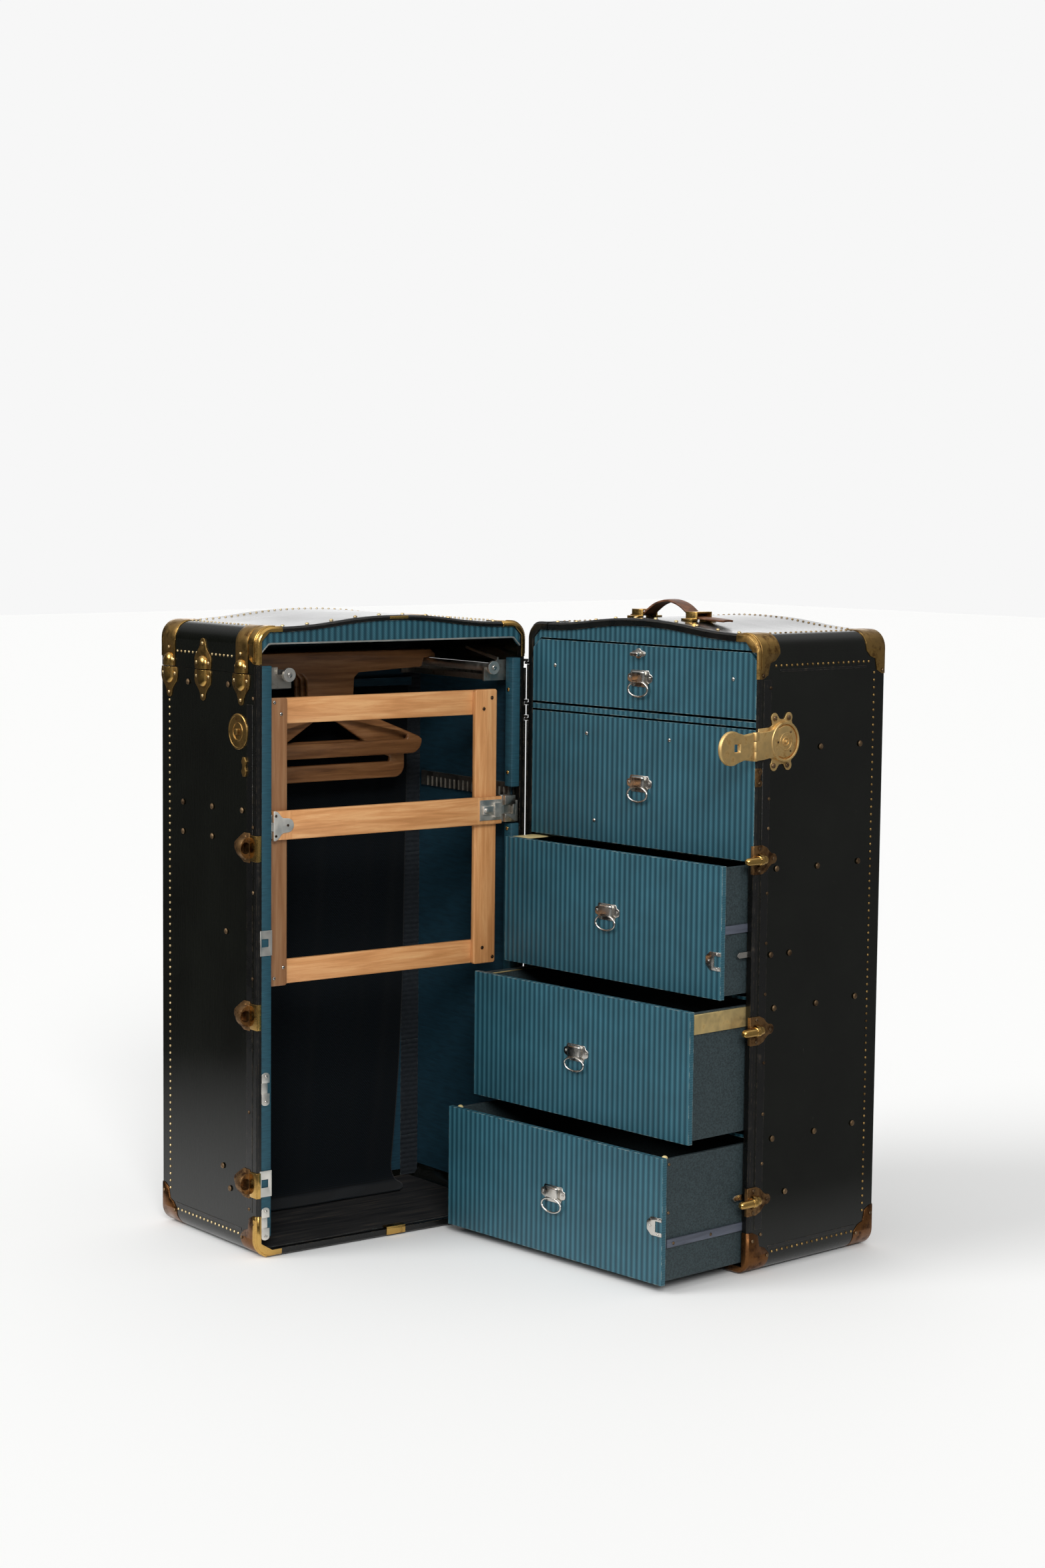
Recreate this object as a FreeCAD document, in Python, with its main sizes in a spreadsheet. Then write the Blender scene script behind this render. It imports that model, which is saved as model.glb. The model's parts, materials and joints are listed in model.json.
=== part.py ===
import FreeCAD, Part
import math
import os
import Sketcher

# A wardrobe trunk that stands on end and opens like a book: a hanger half and a drawer half,
# joined by a vertical hinge in the gap between their front edges.
# World frame: +Z up, origin on the floor at the centre of the drawer half's footprint,
# +X along the drawer half's width towards its lock side, drawers open towards -Y.
# Each half is drawn in its own frame: X across its width from the middle, Y from its open
# front edge to its back, Z up from the floor.

Vector = FreeCAD.Vector
doc = FreeCAD.newDocument("WardrobeTrunk")
sheet = doc.addObject("Spreadsheet::Sheet", "Sizes")
nodes = []


class Dim:
    """A number with the formula it came from, so that a feature can be bound to it."""

    def __init__(self, value, text):
        self.value = float(value)
        self.text = text

    def __add__(self, other):
        other = dim(other)
        return Dim(self.value + other.value, f"({self.text} + {other.text})")

    def __radd__(self, other):
        return dim(other) + self

    def __sub__(self, other):
        other = dim(other)
        return Dim(self.value - other.value, f"({self.text} - {other.text})")

    def __rsub__(self, other):
        return dim(other) - self

    def __mul__(self, other):
        other = dim(other)
        return Dim(self.value * other.value, f"({self.text} * {other.text})")

    def __rmul__(self, other):
        return dim(other) * self

    def __truediv__(self, other):
        other = dim(other)
        return Dim(self.value / other.value, f"({self.text} / {other.text})")

    def __neg__(self):
        return Dim(-self.value, f"(-1 * {self.text})")


def dim(number):
    if isinstance(number, Dim):
        return number
    text = repr(float(number))
    return Dim(number, f"({text})" if number < 0 else text)


def cosine(angle):
    return Dim(math.cos(math.radians(angle.value)), f"cos({angle.text} * 1 deg)")


def sine(angle):
    return Dim(math.sin(math.radians(angle.value)), f"sin({angle.text} * 1 deg)")


def size(alias, value):
    """Write one driving dimension into the sheet and return it."""
    row = len(sheet_rows) + 1
    sheet_rows.append(alias)
    sheet.set(f"A{row}", alias)
    sheet.set(f"B{row}", str(value))
    sheet.setAlias(f"B{row}", alias)
    return Dim(value, f"Sizes.{alias}")


sheet_rows = []

# ---------------------------------------------------------------- driving dimensions (mm)
trunk_width = size("trunk_width", 520)
half_depth = size("half_depth", 298)
shoulder_height = size("shoulder_height", 1001)
crown_rise = size("crown_rise", 15)
crown_span = size("crown_span", 456)
edge_radius = size("edge_radius", 28)
wall = size("wall", 8)
back_wall = size("back_wall", 8)
floor_board = size("floor_board", 10)
bead_depth = size("bead_depth", 10)
hinge_gap = size("hinge_gap", 3.6)
open_angle = size("open_angle", 95.4)
seat_gap = size("seat_gap", 0.3)

half_width = trunk_width / 2
hinge_reach = half_width + hinge_gap
inner_half = half_width - wall
crown_top = shoulder_height + crown_rise

# lid of the hanger half
seam_height = size("seam_height", 927)
seam_gap = size("seam_gap", 0.6)
bead_top = size("bead_top", 941)
fascia_height = size("fascia_height", 974)
fascia_thick = size("fascia_thick", 4)
fascia_recess = size("fascia_recess", 3)
fascia_bevel = size("fascia_bevel", 11)

# drawers
frame_side = size("frame_side", 12)
drawer_gap = size("drawer_gap", 1)
drawer_front_thick = size("drawer_front_thick", 9)
drawer_board = size("drawer_board", 7)
drawer_depth = size("drawer_depth", 268)
side_room = size("side_room", 8)
runner_thick = size("runner_thick", 3.4)
runner_height = size("runner_height", 13)
guide_play = size("guide_play", 0.6)
guide_thick = size("guide_thick", 3)
divider_thick = size("divider_thick", 5)


def bind(obj, prop, length):
    obj.setExpression(prop, dim(length).text)


# ---------------------------------------------------------------- small modelling helpers
turns = {
    "X": FreeCAD.Rotation(Vector(0, 1, 0), 90),
    "Y": FreeCAD.Rotation(Vector(1, 0, 0), -90),
    "Z": FreeCAD.Rotation(),
}
plane_roles = {"XZ": "XZ_Plane", "YZ": "YZ_Plane", "XY": "XY_Plane"}


def move(obj, x=0, y=0, z=0):
    bind(obj, "Placement.Base.x", x)
    bind(obj, "Placement.Base.y", y)
    bind(obj, "Placement.Base.z", z)
    return obj


def block(name, x, y, z):
    """A box between two limits on each axis."""
    box = doc.addObject("Part::Box", name)
    bind(box, "Length", dim(x[1]) - x[0])
    bind(box, "Width", dim(y[1]) - y[0])
    bind(box, "Height", dim(z[1]) - z[0])
    return move(box, x[0], y[0], z[0])


def rod(name, axis, start, length, radius):
    """A cylinder that runs along one axis from its start point."""
    cylinder = doc.addObject("Part::Cylinder", name)
    bind(cylinder, "Radius", radius)
    bind(cylinder, "Height", length)
    cylinder.Placement = FreeCAD.Placement(Vector(), turns[axis])
    return move(cylinder, *start)


def dome(name, centre, radius, facing):
    """A low rivet head: a ball cut off by a block behind its face."""
    ball = doc.addObject("Part::Sphere", name)
    bind(ball, "Radius", radius)
    ball.Angle1 = 20
    ball.Placement = FreeCAD.Placement(Vector(), facing)
    return move(ball, *centre)


def fuse(name, parts):
    joined = doc.addObject("Part::MultiFuse", name)
    joined.Shapes = parts
    return joined


def cut(name, base, tools):
    result = doc.addObject("Part::Cut", name)
    result.Base = base
    result.Tool = tools[0] if len(tools) == 1 else fuse(name + "_tools", tools)
    return result


def common(name, first, second):
    result = doc.addObject("Part::Common", name)
    result.Base = first
    result.Tool = second
    return result


def group(name, parts):
    together = doc.addObject("Part::Compound", name)
    together.Links = parts
    return together


def mirrored(name, source, normal, base=Vector()):
    twin = doc.addObject("Part::Mirroring", name)
    twin.Source = source
    twin.Normal = normal
    twin.Base = base
    return twin


def arc_centre(first, last, radius, sense):
    """Centre of the short arc of a radius from one point to another, turning left or right."""
    chord = last - first
    middle = (first + last) / 2
    reach = math.sqrt(max(radius**2 - (chord.Length / 2) ** 2, 0))
    left = Vector(-chord.y, chord.x, 0).normalize()
    return middle + left * reach * sense


def fix(sketch, kind, value, *where):
    index = sketch.addConstraint(Sketcher.Constraint(kind, *where, dim(value).value))
    sketch.setExpression(f"Constraints[{index}]", dim(value).text)


def draw_disc(sketch, x, y, radius):
    circle = Part.Circle(Vector(dim(x).value, dim(y).value, 0), Vector(0, 0, 1), dim(radius).value)
    link = sketch.addGeometry(circle)
    fix(sketch, "DistanceX", x, link, 3)
    fix(sketch, "DistanceY", y, link, 3)
    fix(sketch, "Radius", radius, link)


def draw(sketch, steps):
    """Draw one closed outline; a step is (x, y) or, where an arc leads to it,
    (x, y, radius, sense) with sense 1 for a left turn and -1 for a right turn.
    An outline of one step (x, y, radius) is a full circle."""
    if len(steps) == 1:
        draw_disc(sketch, *steps[0])
        return
    corners = [Vector(dim(s[0]).value, dim(s[1]).value, 0) for s in steps]
    links = []
    for number, step in enumerate(steps):
        first, last = corners[number - 1], corners[number]
        if len(step) == 2:
            link = sketch.addGeometry(Part.LineSegment(first, last))
            links.append((link, 1, 2))
            continue
        radius, sense = dim(step[2]), step[3]
        centre = arc_centre(first, last, radius.value, sense)
        begin, end = (first, last) if sense > 0 else (last, first)
        angles = [math.atan2(p.y - centre.y, p.x - centre.x) for p in (begin, end)]
        circle = Part.Circle(centre, Vector(0, 0, 1), radius.value)
        link = sketch.addGeometry(Part.ArcOfCircle(circle, angles[0], angles[1]))
        links.append((link, 1, 2) if sense > 0 else (link, 2, 1))
    for number, step in enumerate(steps):
        link, start, end = links[number]
        before, _, before_end = links[number - 1]
        sketch.addConstraint(Sketcher.Constraint("Coincident", before, before_end, link, start))
        fix(sketch, "DistanceX", step[0], link, end)
        fix(sketch, "DistanceY", step[1], link, end)
        if len(step) > 2:
            fix(sketch, "Radius", step[2], link)


def add_sketch(body, name, plane, start):
    sketch = body.newObject("Sketcher::SketchObject", name)
    role = plane_roles[plane]
    support = [f for f in body.Origin.OriginFeatures if f.Role == role][0]
    sketch.AttachmentSupport = [(support, "")]
    sketch.MapMode = "FlatFace"
    bind(sketch, "AttachmentOffset.Base.z", -dim(start) if plane == "XZ" else start)
    return sketch


def add_pocket(body, name, plane, outlines, start, end):
    """Cut outlines into a body, towards +X, +Y or +Z from the start to the end."""
    sketch = add_sketch(body, name + "_sketch", plane, start)
    for steps in outlines:
        draw(sketch, steps)
    pocket = body.newObject("PartDesign::Pocket", name)
    pocket.Profile = sketch
    pocket.Reversed = plane != "XZ"
    bind(pocket, "Length", dim(end) - start)
    body.Tip = pocket
    return pocket


def prism(name, plane, outlines, start, end):
    """A body padded from an outline (and the holes inside it) between two limits."""
    body = doc.addObject("PartDesign::Body", name)
    sketch = add_sketch(body, name + "_sketch", plane, start)
    for steps in outlines:
        draw(sketch, steps)
    pad = body.newObject("PartDesign::Pad", name + "_pad")
    pad.Profile = sketch
    pad.Reversed = plane == "XZ"
    bind(pad, "Length", dim(end) - start)
    body.Tip = pad
    return body


def soften(body, kind, reach, pick):
    """Fillet or chamfer the edges of a body's tip that pick() accepts."""
    doc.recompute()
    base = body.Tip
    names = [f"Edge{i}" for i, edge in enumerate(base.Shape.Edges, 1) if pick(edge)]
    if not names:
        raise RuntimeError(f"no edge found on {body.Name}")
    feature = body.newObject(f"PartDesign::{kind}", f"{body.Name}_{kind.lower()}")
    feature.Base = (base, names)
    bind(feature, "Radius" if kind == "Fillet" else "Size", reach)
    body.Tip = feature
    return feature


def rectangle(x, y):
    return [(x[0], y[0]), (x[1], y[0]), (x[1], y[1]), (x[0], y[1])]


def round_rectangle(x, y, radius):
    return [
        (x[1] - radius, y[0]),
        (x[1], y[0] + radius, radius, 1), (x[1], y[1] - radius),
        (x[1] - radius, y[1], radius, 1), (x[0] + radius, y[1]),
        (x[0], y[1] - radius, radius, 1), (x[0], y[0] + radius),
        (x[0] + radius, y[0], radius, 1),
    ]


# ---------------------------------------------------------------- where things go in the world
swing = 180 - open_angle


def put_on_drawer_half(obj, forward=0):
    return move(obj, 0, -half_depth / 2 - forward, 0)


def put_on_hanger_half(obj):
    obj.Placement = FreeCAD.Placement(Vector(), FreeCAD.Rotation(Vector(0, 0, 1), swing.value))
    bind(obj, "Placement.Rotation.Angle", swing)
    return move(
        obj, -hinge_reach - hinge_reach * cosine(swing),
        -half_depth / 2 - hinge_reach * sine(swing), 0)


def node(label, parts, place, *where):
    """Name a sub-part, put it in the world and list it for export."""
    bodies = len(parts) == 1 and parts[0].TypeId not in ("Part::Box", "Part::Cylinder")
    obj = parts[0] if bodies else group(label, parts)
    obj.Label = label
    place(obj, *where)
    nodes.append(obj)
    return obj


# ---------------------------------------------------------------- the trunk's cross-section
crown_radius = ((crown_span / 4) * (crown_span / 4) + crown_rise * crown_rise / 4) / crown_rise


def crown(inset):
    """The raised middle of the top, as an ogee of three arcs, drawn from right to left."""
    level = shoulder_height - inset
    reach = crown_span / 2
    return [
        (reach, level),
        (reach / 2, level + crown_rise / 2, crown_radius, -1),
        (-reach / 2, level + crown_rise / 2, crown_radius, 1),
        (-reach, level, crown_radius, -1),
    ]


def whole_outline(inset, bottom):
    side = half_width - inset
    radius = edge_radius - inset
    level = shoulder_height - inset
    return [
        (side - radius, bottom),
        (side, bottom + radius, radius, 1), (side, level - radius),
        (side - radius, level, radius, 1),
        *crown(inset),
        (-side + radius, level), (-side, level - radius, radius, 1),
        (-side, bottom + radius), (-side + radius, bottom, radius, 1),
    ]


def lower_outline(inset, bottom, top):
    side = half_width - inset
    radius = edge_radius - inset
    return [
        (side - radius, bottom),
        (side, bottom + radius, radius, 1), (side, top), (-side, top),
        (-side, bottom + radius), (-side + radius, bottom, radius, 1),
    ]


def upper_outline(inset, bottom):
    side = half_width - inset
    radius = edge_radius - inset
    level = shoulder_height - inset
    return [
        (-side, bottom), (side, bottom), (side, level - radius),
        (side - radius, level, radius, 1),
        *crown(inset),
        (-side + radius, level), (-side, level - radius, radius, 1),
    ]


def in_back_plane(edge):
    return edge.BoundBox.YMin > half_depth.value - 0.01


def in_front_plane(edge):
    return edge.BoundBox.YMax < 0.01


def front_outer(edge):
    box = edge.BoundBox
    outside = max(-box.XMin, box.XMax) > half_width.value - 5
    return box.YMax < 0.01 and (outside or box.ZMin < 5 or box.ZMin > shoulder_height.value - 1)


# ---------------------------------------------------------------- drawer half: case
rim_bevel = size("rim_bevel", 4)
bead_bevel = size("bead_bevel", 3)
frame_foot = size("frame_foot", 13)
rebate_reach = size("rebate_reach", 257.3)
rebate_foot = size("rebate_foot", 650.8)
chamfer_wide = size("chamfer_wide", 16)
chamfer_high = size("chamfer_high", 14)
right_wide = size("right_wide", 13)
right_high = size("right_high", 12)
opening_side = half_width - frame_side
drawer_base = {}
drawer_crest = {}
for number, low, high in (
        (1, 867.8, 973.3), (2, 651.2, 857.5), (3, 441, 648), (4, 224, 429.5), (5, 14, 211)):
    drawer_base[number] = size(f"drawer_{number}_base", low)
    drawer_crest[number] = size(f"drawer_{number}_crest", high)


def make_shell(name, outer, inner, start, back=None):
    """A case open at the front: an outer block with the room pocketed out of it."""
    body = prism(name, "XZ", [outer], start, half_depth)
    soften(body, "Chamfer", rim_bevel, in_back_plane)
    add_pocket(body, name + "_room", "XZ", [inner], start, half_depth - (back or back_wall))
    return body


corner_cut = size("corner_cut", 14)


def opening_top(side, inset):
    """The top of a front opening, following the crown, from right to left."""
    level = shoulder_height - inset
    return [
        (side, level - corner_cut), (side - corner_cut, level), *crown(inset),
        (-side + corner_cut, level), (-side, level - corner_cut),
    ]


def frame_opening(side, bottom, inset):
    """The front opening inside the edge bead."""
    return [(-side, bottom), (side, bottom), *opening_top(side, inset)]


shell = make_shell(
    "drawer_case", whole_outline(0, 0), whole_outline(wall, floor_board), bead_depth)
node("drawer_half_shell", [shell], put_on_drawer_half)

bead = prism("drawer_bead", "XZ", [
    whole_outline(0, 0), frame_opening(opening_side, frame_foot, frame_side)], 0, bead_depth)
soften(bead, "Chamfer", bead_bevel, front_outer)
add_pocket(bead, "drawer_rebate", "XZ", [rectangle(
    (opening_side - 5, rebate_reach), (rebate_foot, fascia_height))], 0, bead_depth)
node("drawer_half_edge_bead", [bead], put_on_drawer_half)

# fascia: a recessed panel above the top drawer whose lower corners run down beside it
fascia_side = opening_side - seat_gap
fascia_top = frame_side + seat_gap
corner_foot = fascia_height - chamfer_high
fascia_right = rebate_reach - seat_gap
fascia = prism("drawer_fascia", "XZ", [[
    (-fascia_side, corner_foot), (-fascia_side + chamfer_wide, fascia_height),
    (fascia_right - right_wide, fascia_height), (fascia_right, fascia_height - right_high),
    (fascia_right, fascia_height - seat_gap), (fascia_side, fascia_height - seat_gap),
    *opening_top(fascia_side, fascia_top),
]], fascia_recess, fascia_recess + fascia_thick)
node("drawer_half_fascia", [fascia], put_on_drawer_half)

# dividers between the drawers, the rail under the top drawer and the side guides
divider_foot = {}
for number, level in ((1, 860), (2, 647.5), (3, 433), (4, 215)):
    divider_foot[number] = size(f"divider_{number}_foot", level)
runner_foot = {}
for number, level in ((3, 542), (4, 394), (5, 71)):
    runner_foot[number] = size(f"runner_{number}_foot", level)

inside = inner_half
divider_front = bead_depth
boards = []
for number in divider_foot:
    boards.append(block(
        f"divider_{number}", (-inside, inside), (divider_front, half_depth - back_wall),
        (divider_foot[number], divider_foot[number] + divider_thick)))
boards.append(block(
    "top_rail", (-opening_side, rebate_reach), (1, divider_front),
    (drawer_crest[2] + 0.8, drawer_base[1] - 0.8)))
for number in runner_foot:
    under = (runner_foot[number] - guide_play - guide_thick, runner_foot[number] - guide_play)
    for side, reach in (("left", (-inside, -inside + side_room - guide_play)),
                        ("right", (inside - side_room + guide_play, inside))):
        boards.append(block(
            f"guide_{number}_{side}", reach, (14, half_depth - back_wall - 4), under))
node("drawer_half_dividers", boards, put_on_drawer_half)


# ---------------------------------------------------------------- drawers
drawer_rest = {1: dim(0), 2: dim(0)}
for number, reach in ((3, 57.9), (4, 123.2), (5, 177.2)):
    drawer_rest[number] = size(f"drawer_{number}_rest", reach)
box_lift = size("box_lift", 5)
box_drop = size("box_drop", 3)
box_floor = size("box_floor", 5)
box_side = inside - side_room
front_left = opening_side - drawer_gap
front_right = {n: (rebate_reach - seat_gap) if n < 3 else (opening_side - 0.5) for n in range(1, 6)}


def front_outline(number):
    left, right = -front_left, front_right[number]
    low, high = drawer_base[number], drawer_crest[number]
    if number > 1:
        return rectangle((left, right), (low, high))
    notch = fascia_height - high
    return [
        (left, low), (right, low), (right, fascia_height - right_high - notch - 0.5),
        (fascia_right - right_wide - notch, high), (-fascia_side + chamfer_wide + notch, high),
        (left, corner_foot - notch),
    ]


def make_drawer(number):
    front = prism(
        f"front_{number}", "XZ", [front_outline(number)], 0, drawer_front_thick)
    soften(front, "Fillet", 1.5, in_front_plane)
    node(f"drawer_{number}_front", [front], put_on_drawer_half, drawer_rest[number])
    low = drawer_base[number] + box_lift
    high = drawer_crest[number] - box_drop if number > 1 else corner_foot - drawer_gap
    box = prism(f"box_{number}", "XY", [rectangle(
        (-box_side, box_side), (drawer_front_thick, drawer_depth - 6))], low, high)
    add_pocket(box, f"box_{number}_room", "XY", [rectangle(
        (-box_side + drawer_board, box_side - drawer_board),
        (drawer_front_thick + drawer_board, drawer_depth - 6 - drawer_board))],
        low + box_floor, high + 1)
    node(f"drawer_{number}_box", [box], put_on_drawer_half, drawer_rest[number])


for number in range(1, 6):
    make_drawer(number)


def make_runners(number, height, thick, start, label):
    strips = []
    for side, reach in (("left", (-box_side - thick, -box_side)),
                        ("right", (box_side, box_side + thick))):
        strips.append(block(
            f"runner_{number}_{side}", reach, (start, drawer_depth - 10),
            (runner_foot[number], runner_foot[number] + height)))
    node(label, strips, put_on_drawer_half, drawer_rest[number])


rail_height = size("rail_height", 29)
rail_thick = size("rail_thick", 3)
make_runners(3, runner_height, runner_thick, drawer_front_thick, "drawer_3_runners")
make_runners(4, rail_height, rail_thick, 10, "drawer_4_rails")
make_runners(5, runner_height, runner_thick, 12, "drawer_5_runners")


# ---------------------------------------------------------------- main hinge sizes
leaf_thick = size("leaf_thick", 1.2)
leaf_start = size("leaf_start", 4.5)
leaf_end = size("leaf_end", 26)
main_barrel = size("main_barrel", 3.1)
main_pin = size("main_pin", 1.4)
main_play = size("main_play", 0.08)
knuckle_high = size("knuckle_high", 4)
knuckle_gap = size("knuckle_gap", 0.5)
hinge_levels = {}
for number, level in ((1, 934.5), (2, 867), (3, 841), (4, 505), (5, 479), (6, 150), (7, 124)):
    hinge_levels[number] = size(f"hinge_{number}_level", level)
leaf_high = size("leaf_high", 8)

# ---------------------------------------------------------------- brass corners
skin = size("skin", 1.2)
skin_lift = size("skin_lift", 1)
corner_top = size("corner_top", 46)
corner_side = size("corner_side", 48)
corner_leg = size("corner_leg", 68)


def corner_mask(name, sides, at_back, at_top, leg):
    """The side view of one corner plate, as blocks at the given sides."""
    def point(y, z):
        depth = half_depth - y if at_back else dim(y)
        level = shoulder_height - z if at_top else dim(z)
        return (depth, level)
    steps = [
        point(-5, -25), point(corner_side, -25), point(corner_side, 30),
        point(corner_side - 10, 40), point(corner_side - 22, 44), point(corner_side - 26, leg - 6),
        point(10, leg), point(-5, leg),
    ]
    masks = []
    for side in sides:
        low = -half_width - 5 if side < 0 else half_width - corner_top
        masks.append(prism(f"{name}_{'left' if side < 0 else 'right'}", "YZ", [steps],
                           low, low + corner_top + 5))
    return masks


# a bevel offset outwards by the skin grows by this much, so that the skin stays even
skin_bevel = skin * (2 - math.sqrt(2))


def corner_skin(name, outer, inner, opening):
    """A thin shell that hugs a half's outside, open over the front opening."""
    hull = prism(name + "_hull", "XZ", [outer], -skin, half_depth + skin)
    soften(hull, "Chamfer", rim_bevel + skin_bevel,
           lambda edge: edge.BoundBox.YMin > half_depth.value + skin.value - 0.01)
    soften(hull, "Chamfer", bead_bevel + skin_bevel,
           lambda edge: edge.BoundBox.YMax < -skin.value + 0.01)
    core = prism(name + "_core", "XZ", [inner], 0, half_depth)
    soften(core, "Chamfer", rim_bevel, in_back_plane)
    soften(core, "Chamfer", bead_bevel, in_front_plane)
    room = prism(name + "_opening", "XZ", [opening], -10, 2)
    underside = block(name + "_underside", (-half_width - 5, half_width + 5),
                      (-5, half_depth + 5), (-5, skin_lift))
    return cut(name, hull, [core, room, underside])


lip = seat_gap
drawer_opening = [
    (-opening_side - lip, frame_foot - lip), (opening_side + lip, frame_foot - lip),
    (opening_side + lip, rebate_foot), (rebate_reach + lip, rebate_foot),
    (rebate_reach + lip, fascia_height), (opening_side + lip, fascia_height),
    *opening_top(opening_side + lip, frame_side - lip),
]
drawer_skin = corner_skin(
    "drawer_skin", whole_outline(-skin, 0), whole_outline(0, 0), drawer_opening)
masks = []
for at_back in (False, True):
    for at_top in (False, True):
        masks += corner_mask(
            f"drawer_corner_{int(at_back)}{int(at_top)}", (-1, 1), at_back, at_top, corner_leg)
leaf_room = block("leaf_room", (-half_width - 5, -half_width + 0.5), (-10, leaf_end + 0.3),
                  (shoulder_height - corner_leg - 5, hinge_levels[1] + leaf_high + 0.3))
drawer_corners = cut("drawer_corners", common(
    "drawer_corner_skin", drawer_skin, group("drawer_corner_masks", masks)), [leaf_room])
node("drawer_half_corners", [drawer_corners], put_on_drawer_half)

# ---------------------------------------------------------------- drawer half: outside hardware
outer_side = half_width
dowel_radius = size("dowel_radius", 7.8)
dowel_reach = size("dowel_reach", 27)
dowel_level = {}
for number, level in ((1, 654.6), (2, 387.5), (3, 117.8)):
    dowel_level[number] = size(f"dowel_{number}_level", level)
plate_thick = size("plate_thick", 2)
dowel_out = outer_side + dowel_radius + 0.2
dowels = []
for number, level in dowel_level.items():
    plate = prism(f"dowel_plate_{number}", "YZ", [round_rectangle(
        (-4.5, 46), (level - 24.5, level + 24.5), 9)], outer_side, outer_side + plate_thick)
    sleeve = rod(f"dowel_sleeve_{number}", "Y", (dowel_out, -4.5, level), 34, dowel_radius)
    pin = rod(f"dowel_pin_{number}", "Y", (dowel_out, -dowel_reach + 7, level),
              dowel_reach - 7, dowel_radius - 1.8)
    tip = doc.addObject("Part::Cone", f"dowel_tip_{number}")
    bind(tip, "Radius1", dowel_radius / 2.4)
    bind(tip, "Radius2", dowel_radius - 1.8)
    bind(tip, "Height", 7)
    tip.Placement = FreeCAD.Placement(Vector(), turns["Y"])
    move(tip, dowel_out, -dowel_reach, level)
    dowels.append(fuse(f"dowel_{number}", [plate, sleeve, pin, tip]))
catch_level = size("catch_level", 781.8)
catch = prism("small_catch", "YZ", [round_rectangle(
    (-3, 12.6), (catch_level - 14.8, catch_level + 14.8), 3)], outer_side, outer_side + plate_thick)
catch_boss = rod("small_catch_boss", "X", (outer_side + 1, 5, catch_level), 4, 4)
node("drawer_half_dowel_plates", dowels + [fuse("small_catch_all", [catch, catch_boss])],
     put_on_drawer_half)

# lock base with the hinge of its hasp
lock_level = size("lock_level", 835.5)
hasp_level = size("hasp_level", 831)
lock_depth = size("lock_depth", 57.6)
cup_radius = size("cup_radius", 29)
cup_height = size("cup_height", 7)
hasp_out = size("hasp_out", 7)
hasp_fore = size("hasp_fore", 11)
hasp_pin = size("hasp_pin", 1.6)
hasp_barrel = size("hasp_barrel", 4)
turning_play = size("turning_play", 0.08)
hasp_axis_x = outer_side + hasp_out
lock_plate = prism("lock_plate", "YZ", [[
    (-4, lock_level - 22), (18, lock_level - 26), (26, lock_level - 48), (78, lock_level - 48),
    (86, lock_level - 30), (86, lock_level + 30), (78, lock_level + 48), (26, lock_level + 48),
    (18, lock_level + 26), (-4, lock_level + 22),
]], outer_side, outer_side + plate_thick)
cup = prism("lock_cup", "YZ", [[(lock_depth, lock_level, cup_radius)]],
            outer_side + plate_thick - 0.5, outer_side + cup_height)
soften(cup, "Chamfer", 3, lambda edge: edge.BoundBox.XMin > outer_side.value + cup_height.value - 0.1)
cylinder_head = rod("lock_cylinder", "X", (outer_side + cup_height - 1, lock_depth, lock_level), 4, 9)


def hinge_knuckle(name, axis, centre, reach, radius, bore):
    """A barrel with a bore along one axis."""
    barrel = rod(name + "_barrel", axis, centre, reach, radius)
    start = list(centre)
    step = "XYZ".index(axis)
    start[step] = dim(start[step]) - 1
    return cut(name, barrel, [rod(name + "_bore", axis, start, dim(reach) + 2, bore)])


hasp_parts = []
hasp_bore = hasp_pin + turning_play
for name, low, high in (("lower", -22, -8.5), ("upper", 8.5, 22)):
    barrel = rod(f"hasp_barrel_{name}", "Z", (hasp_axis_x, -hasp_fore, hasp_level + low),
                 high - low, hasp_barrel)
    arm = block(f"hasp_arm_{name}", (outer_side + 0.6, hasp_axis_x), (-hasp_fore, -3),
                (hasp_level + low, hasp_level + high))
    hasp_parts += [barrel, arm]
hasp_rod = rod("hasp_rod", "Z", (hasp_axis_x, -hasp_fore, hasp_level - 22), 44, hasp_pin)
node("lock_base", [fuse("lock_base_all", [lock_plate, cup, cylinder_head, *hasp_parts, hasp_rod])],
     put_on_drawer_half)

flap_length = size("flap_length", 80)
flap_half = size("flap_half", 26.5)
flap_thick = size("flap_thick", 3)
flap_end = -hasp_fore - flap_length + flap_half
flap_plane = hasp_axis_x - flap_thick / 2
flap_start = -hasp_fore - hasp_barrel - 0.6
flap = prism("hasp_flap", "YZ", [[
    (flap_start, hasp_level - flap_half), (flap_start, hasp_level + flap_half),
    (flap_end, hasp_level + flap_half),
    (flap_end - flap_half, hasp_level, flap_half, 1),
    (flap_end, hasp_level - flap_half, flap_half, 1),
], rectangle((-59, -47), (hasp_level - 6, hasp_level + 6))], flap_plane, flap_plane + flap_thick)
flap_web = block("hasp_web", (flap_plane, flap_plane + flap_thick),
                 (-hasp_fore - hasp_barrel - 2, -hasp_fore - hasp_pin - 1),
                 (hasp_level - 8, hasp_level + 8))
flap_barrel = rod("hasp_flap_barrel", "Z", (hasp_axis_x, -hasp_fore, hasp_level - 8), 16,
                  hasp_barrel)
flap_bore = rod("hasp_flap_bore", "Z", (hasp_axis_x, -hasp_fore, hasp_level - 9), 18, hasp_bore)
node("lock_hasp", [cut("hasp_all", fuse("hasp_sum", [flap, flap_web, flap_barrel]), [flap_bore])],
     put_on_drawer_half)

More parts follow.
